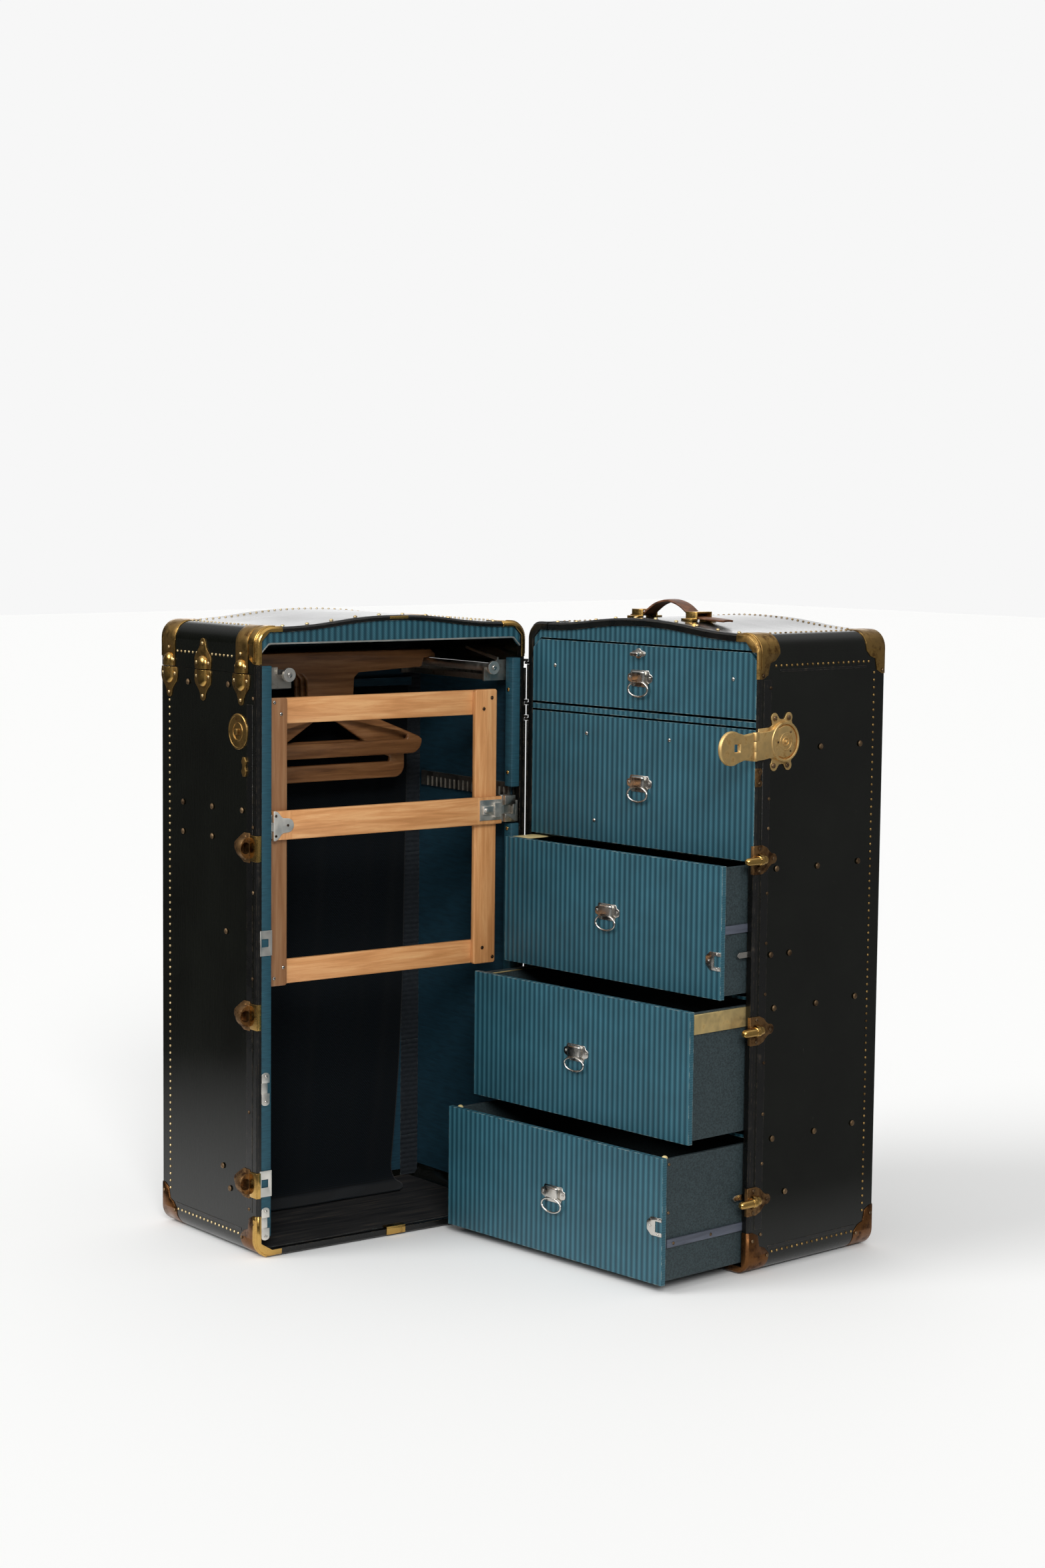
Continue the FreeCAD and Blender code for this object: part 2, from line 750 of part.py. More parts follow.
# ---------------------------------------------------------------- carrying handle on the crown
handle_depth = size("handle_depth", 75)
strap_half = size("strap_half", 14)
strap_thick = size("strap_thick", 5)
strap_foot = crown_top - 1.6
arch_foot = crown_top + 2.5
arch_half = size("arch_half", 44)
arch_top = size("arch_top", 1041)
arch_rise = arch_top - arch_foot
arch_radius = (arch_rise * arch_rise + arch_half * arch_half) / (2 * arch_rise)
strap = prism("handle_strap_arch", "XZ", [[
    (-86, strap_foot - 1.4), (-arch_half, arch_foot, 120, 1),
    (arch_half, arch_foot, arch_radius, -1),
    (86, strap_foot - 1.4, 120, 1), (126, strap_foot - 5.4),
    (126, strap_foot - 5.4 + strap_thick), (86, strap_foot - 1.4 + strap_thick),
    (arch_half, arch_foot + strap_thick + 1, 120, -1),
    (-arch_half, arch_foot + strap_thick + 1, arch_radius, 1),
    (-86, strap_foot - 1.4 + strap_thick, 120, -1),
]], handle_depth - strap_half, handle_depth + strap_half)
node("handle_strap", [strap], put_on_drawer_half)

loop_wide = size("loop_wide", 25)
loops = []
for side, start in (("left", -75), ("right", 47)):
    low = crown_top - 8
    top = arch_foot + strap_thick + 4.4
    near, far = handle_depth - strap_half, handle_depth + strap_half
    arch = prism(f"loop_{side}", "YZ", [[
        (near - 14, low), (near - 0.6, low), (near - 0.6, top - 2.4), (far + 0.6, top - 2.4),
        (far + 0.6, low), (far + 14, low), (far + 14, crown_top + 1.4), (far + 3.4, crown_top + 1.4),
        (far + 3.4, top), (near - 3.4, top), (near - 3.4, crown_top + 1.4),
        (near - 14, crown_top + 1.4),
    ]], start, start + loop_wide)
    loops.append(arch)
saddle = prism("loop_saddle", "XZ", [whole_outline(0, 0)], 20, 130)
node("handle_loops", [cut("handle_loops_all", group("loops", loops), [saddle])],
     put_on_drawer_half)

# nickel prongs on the edge bead that meet the plates of the hanger half
prongs = []
for name, level in (("upper", 507.7), ("lower", 126)):
    prongs.append(prism(f"prong_{name}", "YZ", [[
        (0, level + 4.5), (-22, level + 4.5), (-27, level), (-22, level - 4.5), (0, level - 4.5)]],
        opening_side + 2.3, opening_side + 4.5))
node("nickel_prongs", prongs, put_on_drawer_half)

# ---------------------------------------------------------------- drawer fittings
pull_half = size("pull_half", 28)
pull_high = size("pull_high", 27)
pull_plate_thick = size("pull_plate_thick", 2)
bail_wire = size("bail_wire", 1.7)
bail_play = size("bail_play", 0.1)
bail_half = size("bail_half", 14)
bail_leg = size("bail_leg", 6)
bail_out = size("bail_out", 5.2)
ear_wide = size("ear_wide", 3.2)
ear_out = bail_half - bail_wire - 0.4
pull_x, pull_foot = {}, {}
for number, across, foot in ((1, 5, 907.5), (2, 7, 739), (3, -3, 536), (4, -2.5, 314), (5, 6, 97)):
    pull_x[number] = size(f"pull_{number}_across", across)
    pull_foot[number] = size(f"pull_{number}_foot", foot)


def bail_axis(number):
    return pull_foot[number] + 6


def make_pull(number):
    x, foot = pull_x[number], pull_foot[number]
    plate = prism(f"pull_plate_{number}", "XZ", [round_rectangle(
        (x - pull_half, x + pull_half), (foot, foot + pull_high), 5)], -pull_plate_thick, 0)
    level = bail_axis(number)
    bosses = []
    for side in ("left", "right"):
        reach = ear_wide
        near = x - ear_out if side == "left" else x + ear_out - reach
        ear = fuse(f"ear_{number}_{side}_solid", [
            rod(f"ear_{number}_{side}_round", "X", (near, -bail_out, level), reach, 2.9),
            block(f"ear_{number}_{side}_foot", (near, near + reach), (-bail_out, -1),
                  (level - 2.9, level + 2.9))])
        bosses.append(cut(f"ear_{number}_{side}", ear, [rod(
            f"ear_{number}_{side}_bore", "X", (near - 1, -bail_out, level), reach + 2,
            bail_wire + bail_play)]))
    return fuse(f"pull_{number}", [plate, *bosses])


def make_bail(number):
    """A D-shaped bail: a round bar through the ears and a bowed wire below it."""
    x, level = pull_x[number], bail_axis(number)
    bar = rod(f"bail_bar_{number}", "X", (x - bail_half, -bail_out, level), 2 * bail_half, bail_wire)
    low = level - bail_leg
    outer, inner = bail_half + bail_wire, bail_half - bail_wire
    bow = prism(f"bail_bow_{number}", "XZ", [[
        (x + outer, level + bail_wire), (x + inner, level + bail_wire), (x + inner, low),
        (x, low - inner, inner, -1), (x - inner, low, inner, -1),
        (x - inner, level + bail_wire), (x - outer, level + bail_wire), (x - outer, low),
        (x, low - outer, outer, 1), (x + outer, low, outer, 1),
    ]], -bail_out - bail_wire, -bail_out + bail_wire)
    node(f"drawer_{number}_ring", [fuse(f"bail_{number}", [bar, bow])], put_on_drawer_half,
         drawer_rest[number])


rivet_radius = size("rivet_radius", 4.5)
rivet_height = size("rivet_height", 1.6)
front_rivets = {1: [(-193, 932), (209, 931)], 2: [(-116, 825), (73, 827), (-96, 684.5)]}
knob_x = size("knob_across", 1)
knob_level = size("knob_level", 959.5)
rosette_half = size("rosette_half", 11)


def make_catch_plate(number, low, high):
    right = front_right[number] - 0.2
    middle = (low + high) / 2
    return prism(f"catch_plate_{number}", "XZ", [[
        (right - 31, low), (right, low), (right, middle - 8.5), (right - 13, middle - 8.5),
        (right - 13, middle + 8.5), (right, middle + 8.5), (right, high), (right - 31, high)]],
        -1.6, 0)


for number in range(1, 6):
    fittings = [make_pull(number)]
    for spot, (x, z) in enumerate(front_rivets.get(number, []), 1):
        fittings.append(rod(f"front_rivet_{number}_{spot}", "Y", (x, -rivet_height, z),
                            rivet_height, rivet_radius))
    if number == 1:
        waist = rosette_half / 2.6
        star = []
        for across, up in ((1, 0), (0, 1), (-1, 0), (0, -1)):
            turn_x, turn_z = across - up, up + across
            star += [(knob_x + rosette_half * across, knob_level + rosette_half * up),
                     (knob_x + waist * turn_x, knob_level + waist * turn_z)]
        fittings.append(prism("rosette", "XZ", [star], -1.6, 0))
    if number == 3:
        fittings.append(make_catch_plate(3, dim(486), dim(515)))
    if number == 5:
        fittings.append(make_catch_plate(5, dim(90), dim(119)))
    node(f"drawer_{number}_fittings", fittings, put_on_drawer_half, drawer_rest[number])
    make_bail(number)

knob_stem = rod("knob_stem", "Y", (knob_x, -8, knob_level), 6.2, 3.6)
knob_bar = prism("knob_bar", "XZ", [round_rectangle(
    (knob_x - 9, knob_x + 9), (knob_level - 3, knob_level + 3), 2.5)], -13, -7)
soften(knob_bar, "Chamfer", 1.2, lambda edge: edge.BoundBox.YMax < -12.9)
node("drawer_1_knob", [fuse("knob_all", [knob_stem, knob_bar])], put_on_drawer_half)


# ---------------------------------------------------------------- hanger half: case
hanger_bead = size("hanger_bead", 8)
batten_side = size("batten_side", 19)
batten_thick = size("batten_thick", 6)
batten_depth = size("batten_depth", 19.5)
lining_thick = size("lining_thick", 1.5)
floor_pad = size("floor_pad", 3)
lid_foot = seam_height + seam_gap
lid_bead_foot = bead_top + 1

hanger_shell = prism("hanger_case", "XZ", [lower_outline(0, 0, seam_height)],
                     bead_depth, half_depth)
soften(hanger_shell, "Chamfer", rim_bevel,
       lambda edge: in_back_plane(edge) and edge.BoundBox.ZMin < seam_height.value - 1)
add_pocket(hanger_shell, "hanger_room", "XZ", [lower_outline(wall, floor_board, seam_height + 5)],
           bead_depth, half_depth - back_wall)
node("hanger_half_shell", [hanger_shell], put_on_hanger_half)

hanger_rim = prism("hanger_bead_body", "XZ", [lower_outline(0, 0, bead_top)], 0, bead_depth)
soften(hanger_rim, "Chamfer", bead_bevel,
       lambda edge: front_outer(edge) and edge.BoundBox.ZMin < bead_top.value - 1)
add_pocket(hanger_rim, "hanger_opening", "XZ", [lower_outline(
    hanger_bead, hanger_bead + 4, bead_top + 5)], 0, bead_depth)
node("hanger_half_edge_bead", [hanger_rim], put_on_hanger_half)

# battens inside the front edge: a thin one on the outer side, a deep one on the hinge side
batten_low = hanger_bead + 4 + edge_radius - hanger_bead + 1
batten_in = inner_half - batten_side
keeper_foot = size("keeper_foot", 668)
keeper_top = size("keeper_top", 712)
batten_gap = size("batten_gap", 3)
right_batten = inner_half - batten_side + 2.5
battens = [
    block("left_batten", (-inner_half, -batten_in), (1, 1 + batten_thick), (batten_low, bead_top)),
    block("right_batten_lower", (right_batten, inner_half), (1, 1 + batten_depth),
          (batten_low, keeper_foot - batten_gap)),
    block("right_batten_upper", (right_batten, inner_half), (1, 1 + batten_depth),
          (keeper_top + 14, bead_top)),
]
node("hanger_half_battens", battens, put_on_hanger_half)

lining_top = seam_height - 6
lined = inner_half - lining_thick
lining_start = 1 + batten_depth + 0.5
floor_side = half_width - edge_radius
lining = [
    prism("lining_floor", "XY", [rectangle((-floor_side, floor_side), (12, half_depth - back_wall))],
          floor_board, floor_board + floor_pad),
    block("lining_back", (-lined, lined), (half_depth - back_wall - lining_thick,
          half_depth - back_wall), (floor_board + floor_pad + 12, lining_top)),
    block("lining_left", (-inner_half, -lined), (lining_start, half_depth - back_wall),
          (floor_board + 22, lining_top)),
    block("lining_right", (lined, inner_half), (lining_start, half_depth - back_wall),
          (floor_board + 22, lining_top)),
]

# dust curtain: hangs in front of the back lining and runs forward along the floor
curtain_face = size("curtain_face", 279)
curtain_thick = size("curtain_thick", 3)
curtain_hem = size("curtain_hem", 193)
curtain_top = size("curtain_top", 880)
curtain_side = size("curtain_side", 186)
curtain_head_side = size("curtain_head_side", 220)
curtain_left = size("curtain_left", -206)
rest_level = floor_board + floor_pad + 0.4
curtain_profile = prism("curtain_profile", "YZ", [[
    (curtain_hem, rest_level), (curtain_face + curtain_thick - 4, rest_level),
    (curtain_face + curtain_thick, rest_level + 4), (curtain_face + curtain_thick, curtain_top),
    (curtain_face, curtain_top), (curtain_face, rest_level + curtain_thick + 3),
    (curtain_face - 3, rest_level + curtain_thick), (curtain_hem, rest_level + curtain_thick),
]], curtain_left, curtain_head_side)
curtain_outline = prism("curtain_outline", "XZ", [[
    (curtain_left - 1, rest_level - 1), (curtain_side, rest_level - 1),
    (curtain_side, rest_level + 46), (curtain_head_side - 7, rest_level + 255),
    (curtain_head_side, curtain_top - 120), (curtain_head_side, curtain_top + 1),
    (curtain_left - 1, curtain_top + 1),
]], curtain_hem - 1, curtain_face + curtain_thick + 1)
curtain = common("curtain_drop", curtain_profile, curtain_outline)
curtain_rail = block("curtain_rail", (curtain_left - 4, curtain_head_side + 4),
                     (curtain_face - 2, half_depth - back_wall - lining_thick),
                     (curtain_top + 0.3, curtain_top + 14))
node("hanger_half_lining", [*lining, curtain_rail], put_on_hanger_half)
node("curtain", [curtain], put_on_hanger_half)

# ---------------------------------------------------------------- lid
lid_hinge_out = size("lid_hinge_out", 3.4)
loaf_half = size("loaf_half", 17)
loaf_reach = size("loaf_reach", 46)
loaf_thick = size("loaf_thick", 3)
loaf_barrel = size("loaf_barrel", 3)
loaf_pin = size("loaf_pin", 1.6)
loaf_play = size("loaf_play", 0.08)
loaf_clear = size("loaf_clear", 3.6)
knuckle_half = size("knuckle_half", 6)
knuckle_end = size("knuckle_end", 16)
lid_axis_x = -half_width - lid_hinge_out
lid_axis_z = seam_height + seam_gap / 2
loaf_depth = {}
for number, depth in ((1, 47.8), (2, 163.7), (3, 269.4)):
    loaf_depth[number] = size(f"loaf_{number}_depth", depth)

lid_shell = prism("lid_case", "XZ", [upper_outline(0, lid_foot)], bead_depth, half_depth)
soften(lid_shell, "Chamfer", rim_bevel,
       lambda edge: in_back_plane(edge) and edge.BoundBox.ZMax > lid_foot.value + 1)
add_pocket(lid_shell, "lid_room", "XZ", [upper_outline(wall, lid_foot - 5)],
           bead_depth, half_depth - back_wall)
node("lid_shell", [lid_shell], put_on_hanger_half)

lid_opening = frame_opening(half_width - hanger_bead, lid_bead_foot - 5, hanger_bead)
lid_rim = prism("lid_bead_body", "XZ", [upper_outline(0, lid_bead_foot)], 0, bead_depth)
soften(lid_rim, "Chamfer", bead_bevel,
       lambda edge: front_outer(edge) and edge.BoundBox.ZMax > lid_bead_foot.value + 1)
add_pocket(lid_rim, "lid_bead_opening", "XZ", [lid_opening], 0, bead_depth)
node("lid_edge_bead", [lid_rim], put_on_hanger_half)

lid_side = half_width - hanger_bead - seat_gap
lid_top = hanger_bead + seat_gap
lid_fascia = prism("lid_fascia_body", "XZ", [[
    (-lid_side, fascia_height - 14), (-lid_side + 14, fascia_height),
    (lid_side - 14, fascia_height), (lid_side, fascia_height - 14),
    *opening_top(lid_side, lid_top),
]], fascia_recess, fascia_recess + fascia_thick)
node("lid_fascia", [lid_fascia], put_on_hanger_half)

hanger_skin = corner_skin("hanger_skin", whole_outline(-skin, 0), whole_outline(0, 0), [
    (-half_width + hanger_bead - lip, hanger_bead + 4 + 12), (-half_width + 28, hanger_bead + 3.5),
    (half_width - 28, hanger_bead + 3.5), (half_width - hanger_bead + lip, hanger_bead + 4 + 12),
    *opening_top(half_width - hanger_bead + lip, hanger_bead - lip)])
lid_leg = shoulder_height - lid_bead_foot - 1
lid_masks = []
foot_masks = []
for at_back in (False, True):
    lid_masks += corner_mask(f"lid_corner_{int(at_back)}", (-1, 1), at_back, True, lid_leg)
    foot_masks += corner_mask(f"hanger_corner_{int(at_back)}", (-1, 1), at_back, False, corner_leg)
foot_corners = common("hanger_foot_corners", hanger_skin, group("hanger_foot_masks", foot_masks))
loaf_rooms = [
    block(f"loaf_room_{number}", (-half_width - 5, -half_width + 0.5),
          (depth - loaf_half - 0.3, depth + loaf_half + 0.3),
          (lid_axis_z, lid_axis_z + loaf_reach + 1)) for number, depth in loaf_depth.items()]
lid_corners = cut("lid_corner_plates", common(
    "lid_corner_skin", hanger_skin, group("lid_masks", lid_masks)), loaf_rooms)
loop_x = size("loop_across", 6)
clip = block("lid_clip", (loop_x - 18, loop_x + 18), (-skin, 0), (crown_top - 6, crown_top - 1.5))


def make_loaf(number, depth):
    """Both leaves of one lid hinge on the outer side wall."""
    outside = (-half_width - loaf_thick, -half_width)
    across = (depth - loaf_half, depth + loaf_half)
    body_plate = block(f"loaf_{number}_body", outside, across,
                       (lid_axis_z - loaf_reach, lid_axis_z - loaf_clear))
    lid_plate = block(f"loaf_{number}_lid", outside, across,
                      (lid_axis_z + loaf_clear, lid_axis_z + loaf_reach))
    body_parts = [body_plate]
    for side, start in (("front", depth - knuckle_end),
                        ("back", depth + knuckle_half + 0.4)):
        reach = knuckle_end - knuckle_half - 0.4
        body_parts.append(rod(f"loaf_{number}_barrel_{side}", "Y", (lid_axis_x, start, lid_axis_z),
                              reach, loaf_barrel))
        body_parts.append(block(
            f"loaf_{number}_web_{side}", (lid_axis_x, -half_width - 0.2), (start, start + reach),
            (lid_axis_z - loaf_clear - 1, lid_axis_z)))
    body_parts.append(rod(f"loaf_{number}_pin", "Y", (lid_axis_x, depth - knuckle_end, lid_axis_z),
                          2 * knuckle_end, loaf_pin))
    lid_parts = [
        lid_plate,
        rod(f"loaf_{number}_lid_barrel", "Y", (lid_axis_x, depth - knuckle_half, lid_axis_z),
            2 * knuckle_half, loaf_barrel),
        block(f"loaf_{number}_lid_web", (lid_axis_x, -half_width - 0.2),
              (depth - knuckle_half, depth + knuckle_half),
              (lid_axis_z, lid_axis_z + loaf_clear + 1))]
    lid_bore = rod(f"loaf_{number}_bore", "Y",
                   (lid_axis_x, depth - knuckle_half - 1, lid_axis_z),
                   2 * knuckle_half + 2, loaf_pin + loaf_play)
    lid_leaf = cut(f"loaf_{number}_upper", fuse(f"loaf_{number}_upper_sum", lid_parts), [lid_bore])
    return fuse(f"loaf_{number}_lower", body_parts), lid_leaf


lower_leaves, upper_leaves = [], []
for number, depth in loaf_depth.items():
    lower, upper = make_loaf(number, depth)
    lower_leaves.append(lower)
    upper_leaves.append(upper)
node("lid_hinge_lower_leaves", lower_leaves, put_on_hanger_half)
node("lid_corners", [lid_corners, clip, *upper_leaves], put_on_hanger_half)
node("hanger_half_corners", [foot_corners], put_on_hanger_half)

# ---------------------------------------------------------------- hanger half: outside hardware
socket_radius = size("socket_radius", 9.6)
socket_start = size("socket_start", 26)
sockets = []
for number, level in dowel_level.items():
    plate = prism(f"socket_plate_{number}", "YZ", [round_rectangle(
        (25, 77), (level - 20, level + 20), 9)], -outer_side - plate_thick, -outer_side)
    hood = rod(f"socket_hood_{number}", "Y", (-dowel_out, socket_start, level), 30, socket_radius)
    hollow = rod(f"socket_hollow_{number}", "Y", (-dowel_out, socket_start - 1, level), 26,
                 dowel_radius - 1.8 + 0.6)
    case_room = block(f"socket_case_{number}", (-outer_side, -outer_side + 20), (20, 80),
                      (level - 20, level + 20))
    sockets.append(cut(f"socket_{number}", fuse(f"socket_{number}_sum", [plate, hood]),
                       [hollow, case_room]))
lock_disc = rod("lock_disc", "X", (-outer_side - 5, lock_depth, lock_level - 1), 5, cup_radius + 1)
disc_boss = prism("disc_boss", "YZ", [rectangle(
    (lock_depth - 7, lock_depth + 7), (lock_level - 10, lock_level + 8))],
    -outer_side - 9, -outer_side - 4)
side_catch = prism("side_catch", "YZ", [round_rectangle(
    (30, 41.5), (lock_level - 68, lock_level - 40), 3)], -outer_side - plate_thick, -outer_side)
foot_clip = block("foot_clip", (-16, -4), (-2, 0), (5, 11))
node("dowel_sockets", [*sockets, fuse("lock_disc_all", [lock_disc, disc_boss]), side_catch, foot_clip],
     put_on_hanger_half)

# nickel plates on the outer front edge: square holes for the prongs, two-tab brackets
catch_edge = -half_width + 5
tab_edge = -half_width + hanger_bead + 0.6
nickel = []
for name, low, high in (("upper", 485, 525), ("lower", 99, 141)):
    middle = dim(low + high) / 2
    nickel.append(prism(f"nickel_{name}", "XZ", [
        rectangle((catch_edge, catch_edge + 22), (low, high)),
        rectangle((catch_edge + 3, catch_edge + 15.5), (middle - 6, middle + 7))], -1, 0))
for name, low, high in (("upper", 245, 300), ("lower", 34, 77)):
    nickel.append(prism(f"tab_{name}", "XZ", [[
        (tab_edge, low), (tab_edge + 11, low), (tab_edge + 11, dim(low) + 15),
        (tab_edge + 5, dim(low) + 18), (tab_edge + 5, dim(high) - 18),
        (tab_edge + 11, dim(high) - 15), (tab_edge + 11, high), (tab_edge, high)]],
        -0.2, 1))
node("nickel_catch_plates", nickel, put_on_hanger_half)

# ---------------------------------------------------------------- trolley
rod_level = size("rod_level", 925)
rod_radius = size("rod_radius", 7)
rod_play = size("rod_play", 0.08)
rod_left = size("rod_left", -194.6)
rod_right = size("rod_right", 204)
rod_start = size("rod_start", 15)
rod_end = size("rod_end", 258)
cap_radius = size("cap_radius", 11)
bracket_front = size("bracket_front", 19)
bracket_thick = size("bracket_thick", 4)
bracket_back = size("bracket_back", 262)
strut_across = size("strut_across", 220)
brackets = []
for side, x, wall_x in (("left", rod_left, -lined), ("right", rod_right, lined)):
    way = 1 if side == "right" else -1
    near = x - way * 11
    step = x + way * 14
    for name, start in (("front", bracket_front + 4), ("back", bracket_back)):
        saddle = prism(f"saddle_{side}_{name}", "XZ", [[
            (near, rod_level - 22), (wall_x, rod_level - 22), (wall_x, rod_level + 12),
            (step, rod_level + 12), (step, rod_level), (near, rod_level)]],
            start, start + bracket_thick)
        seat = rod(f"seat_{side}_{name}", "Y", (x, start - 1, rod_level), bracket_thick + 2,
                   rod_radius + rod_play)
        brackets.append(cut(f"bracket_{side}_{name}", saddle, [seat]))
    guide = block(f"rod_guide_{side}", (x - 3, x + 3), (bracket_front + 4 + bracket_thick,
                  bracket_back), (rod_level - 21, rod_level - 12))
    wall_strip = block(
        f"bracket_strip_{side}", (lined - 2, lined) if way > 0 else (-lined, -lined + 2),
        (bracket_front + 4 + bracket_thick, bracket_back), (rod_level - 18, rod_level - 6))
    brackets += [guide, wall_strip]
strut = prism("strut", "YZ", [[
    (bracket_front + 4, rod_level + 12), (bracket_front + 12, rod_level + 12),
    (113, 952), (113, 956), (bracket_front + 4, rod_level + 16)]],
    strut_across, strut_across + 3)
node("trolley_brackets", [fuse("trolley_brackets_all", [*brackets, strut])], put_on_hanger_half)

rods = []
for side, x in (("left", rod_left), ("right", rod_right)):
    tube = rod(f"tube_{side}", "Y", (x, rod_start, rod_level), rod_end - rod_start, rod_radius)
    cap = rod(f"cap_{side}", "Y", (x, rod_start - 5, rod_level), 5, cap_radius)
    rods += [tube, cap]
rods.append(block("trolley_bar", (rod_left, rod_right), (rod_end - 6, rod_end),
                  (rod_level - 4, rod_level + 4)))
node("trolley_rods", [fuse("trolley_all", rods)], put_on_hanger_half)

# hangers: wooden boards with a beam over the rods, sloping shoulders and a bar below
hanger_middle = (rod_left + rod_right) / 2
hanger_thick = size("hanger_thick", 8)
hanger_depth = {}
for number, depth in ((1, 200), (2, 218), (3, 236)):
    hanger_depth[number] = size(f"hanger_{number}_depth", depth)
beam_half = size("beam_half", 212)
beam_top = size("beam_top", 947)
beam_foot = rod_level + rod_radius + 0.1


def both_sides(right_half):
    """Mirror the right half of an outline about the hanger's middle."""
    right = [(hanger_middle + s[0], *s[1:]) for s in right_half]
    left = [(hanger_middle - s[0], s[1]) for s in reversed(right_half)]
    for place, step in enumerate(reversed(right_half)):
        if len(step) > 2:
            left[place + 1] = (*left[place + 1], step[2], step[3])
    return right + left


def make_hanger(number, bar_foot, bar_top, bar_half, corner):
    outline = [
        (beam_half - 10, beam_top), (beam_half, beam_top - 8), (beam_half, beam_foot),
        (188, beam_foot), (184, 917), (56, 911), (47, 902), (45, 862), (55, 848),
        (178, 800), (dim(bar_half), 794.5), (dim(bar_half), bar_foot + corner),
        (dim(bar_half) - corner, bar_foot, corner, -1),
    ]
    window_half = dim(bar_half) - 30
    slope_top = 838
    window = [
        (8, slope_top), (window_half - 18, bar_top + 14), (window_half, bar_top + 8),
        (window_half, bar_top + 4), (window_half - 4, bar_top, 4, -1),
    ]
    board = prism(f"hanger_board_{number}", "XZ", [both_sides(outline), both_sides(window)],
                  hanger_depth[number] - hanger_thick / 2, hanger_depth[number] + hanger_thick / 2)
    node(f"hanger_{number}", [board], put_on_hanger_half)


make_hanger(1, dim(770), dim(795), 186, 22)
make_hanger(2, dim(729), dim(757), 162, 20)
make_hanger(3, dim(770), dim(795), 186, 22)

# ---------------------------------------------------------------- garment gate
gate_axis_x = size("gate_axis_x", -228)
gate_axis_y = size("gate_axis_y", 10.5)
stile_depth = size("stile_depth", 18)
board_thick = size("board_thick", 9)
stile_foot = size("stile_foot", 431)
stile_top = size("stile_top", 889)
left_stile = (dim(-225), dim(-193.5))
right_stile = (dim(173), dim(217))
rail_reach = (left_stile[0], dim(214))
gate_boards = [
    prism("gate_stile_left", "XZ", [round_rectangle(left_stile, (stile_foot, stile_top), 4)],
          stile_depth, stile_depth + board_thick),
    prism("gate_stile_right", "XZ", [round_rectangle(right_stile, (stile_foot, stile_top), 4)],
          stile_depth, stile_depth + board_thick),
    prism("gate_rail_top", "XZ", [rectangle(rail_reach, (847, 888))],
          stile_depth + board_thick, stile_depth + 2 * board_thick),
    prism("gate_rail_bottom", "XZ", [rectangle(rail_reach, (432, 471))],
          stile_depth + board_thick, stile_depth + 2 * board_thick),
    prism("gate_rail_middle", "XZ", [rectangle((left_stile[0], 222.5), (665, 711))],
          stile_depth - board_thick, stile_depth),
]
node("gate_frame", gate_boards, put_on_hanger_half)

gate_level = size("gate_level", 687)
gate_barrel = size("gate_barrel", 2.6)
gate_pin = size("gate_pin", 1.2)
gate_play = size("gate_play", 0.08)
leaf_back = stile_depth - board_thick
gate_leaf = prism("gate_leaf", "XZ", [[
    (gate_axis_x + 3.2, gate_level - 7), (gate_axis_x + 19, gate_level - 7),
    (gate_axis_x + 26, gate_level, 7, 1), (gate_axis_x + 19, gate_level + 7, 7, 1),
    (gate_axis_x + 3.2, gate_level + 7)]], leaf_back - 1.5, leaf_back)
gate_web = block("gate_web", (gate_axis_x + 1.6, gate_axis_x + 4), (leaf_back - 1.5, leaf_back),
                 (gate_level - 7, gate_level + 7))
gate_knuckle = rod("gate_knuckle", "Z", (gate_axis_x, gate_axis_y, gate_level - 7), 14, gate_barrel)
gate_bore = rod("gate_bore", "Z", (gate_axis_x, gate_axis_y, gate_level - 8), 16,
                gate_pin + gate_play)
gate_hinge = cut("gate_hinge", fuse("gate_hinge_sum", [gate_leaf, gate_web, gate_knuckle]),
                 [gate_bore])
latch_plate = prism("latch_plate", "XZ", [rectangle((176, 221), (672, 706))],
                    leaf_back - 1.4, leaf_back)
bolt_low, bolt_high = dim(682), dim(696)
bolt_y = (leaf_back - 5, leaf_back - 1.8)
strap_reach = (203.5, 217)
straps = [
    block("latch_strap_low", strap_reach, (bolt_y[0], leaf_back - 1), (bolt_low - 5, bolt_low - 0.3)),
    block("latch_strap_high", strap_reach, (bolt_y[0], leaf_back - 1),
          (bolt_high + 0.3, bolt_high + 5)),
    block("latch_strap_face", strap_reach, (bolt_y[0] - 1.6, bolt_y[0] - 0.3),
          (bolt_low - 5, bolt_high + 5)),
    block("latch_strap_side_low", strap_reach, (bolt_y[0] - 0.5, bolt_y[0] + 0.5),
          (bolt_low - 5, bolt_low - 0.3)),
    block("latch_strap_side_high", strap_reach, (bolt_y[0] - 0.5, bolt_y[0] + 0.5),
          (bolt_high + 0.3, bolt_high + 5)),
]
node("gate_fittings", [gate_hinge, fuse("latch_case", [latch_plate, *straps])],
     put_on_hanger_half)
bolt_bar = block("bolt_bar", (181, 223.4), bolt_y, (bolt_low, bolt_high))
bolt_knob = rod("bolt_knob", "Y", (187, 1.2, gate_level + 2), 3.2, 3.6)
node("gate_bolt", [fuse("gate_bolt_all", [bolt_bar, bolt_knob])], put_on_hanger_half)

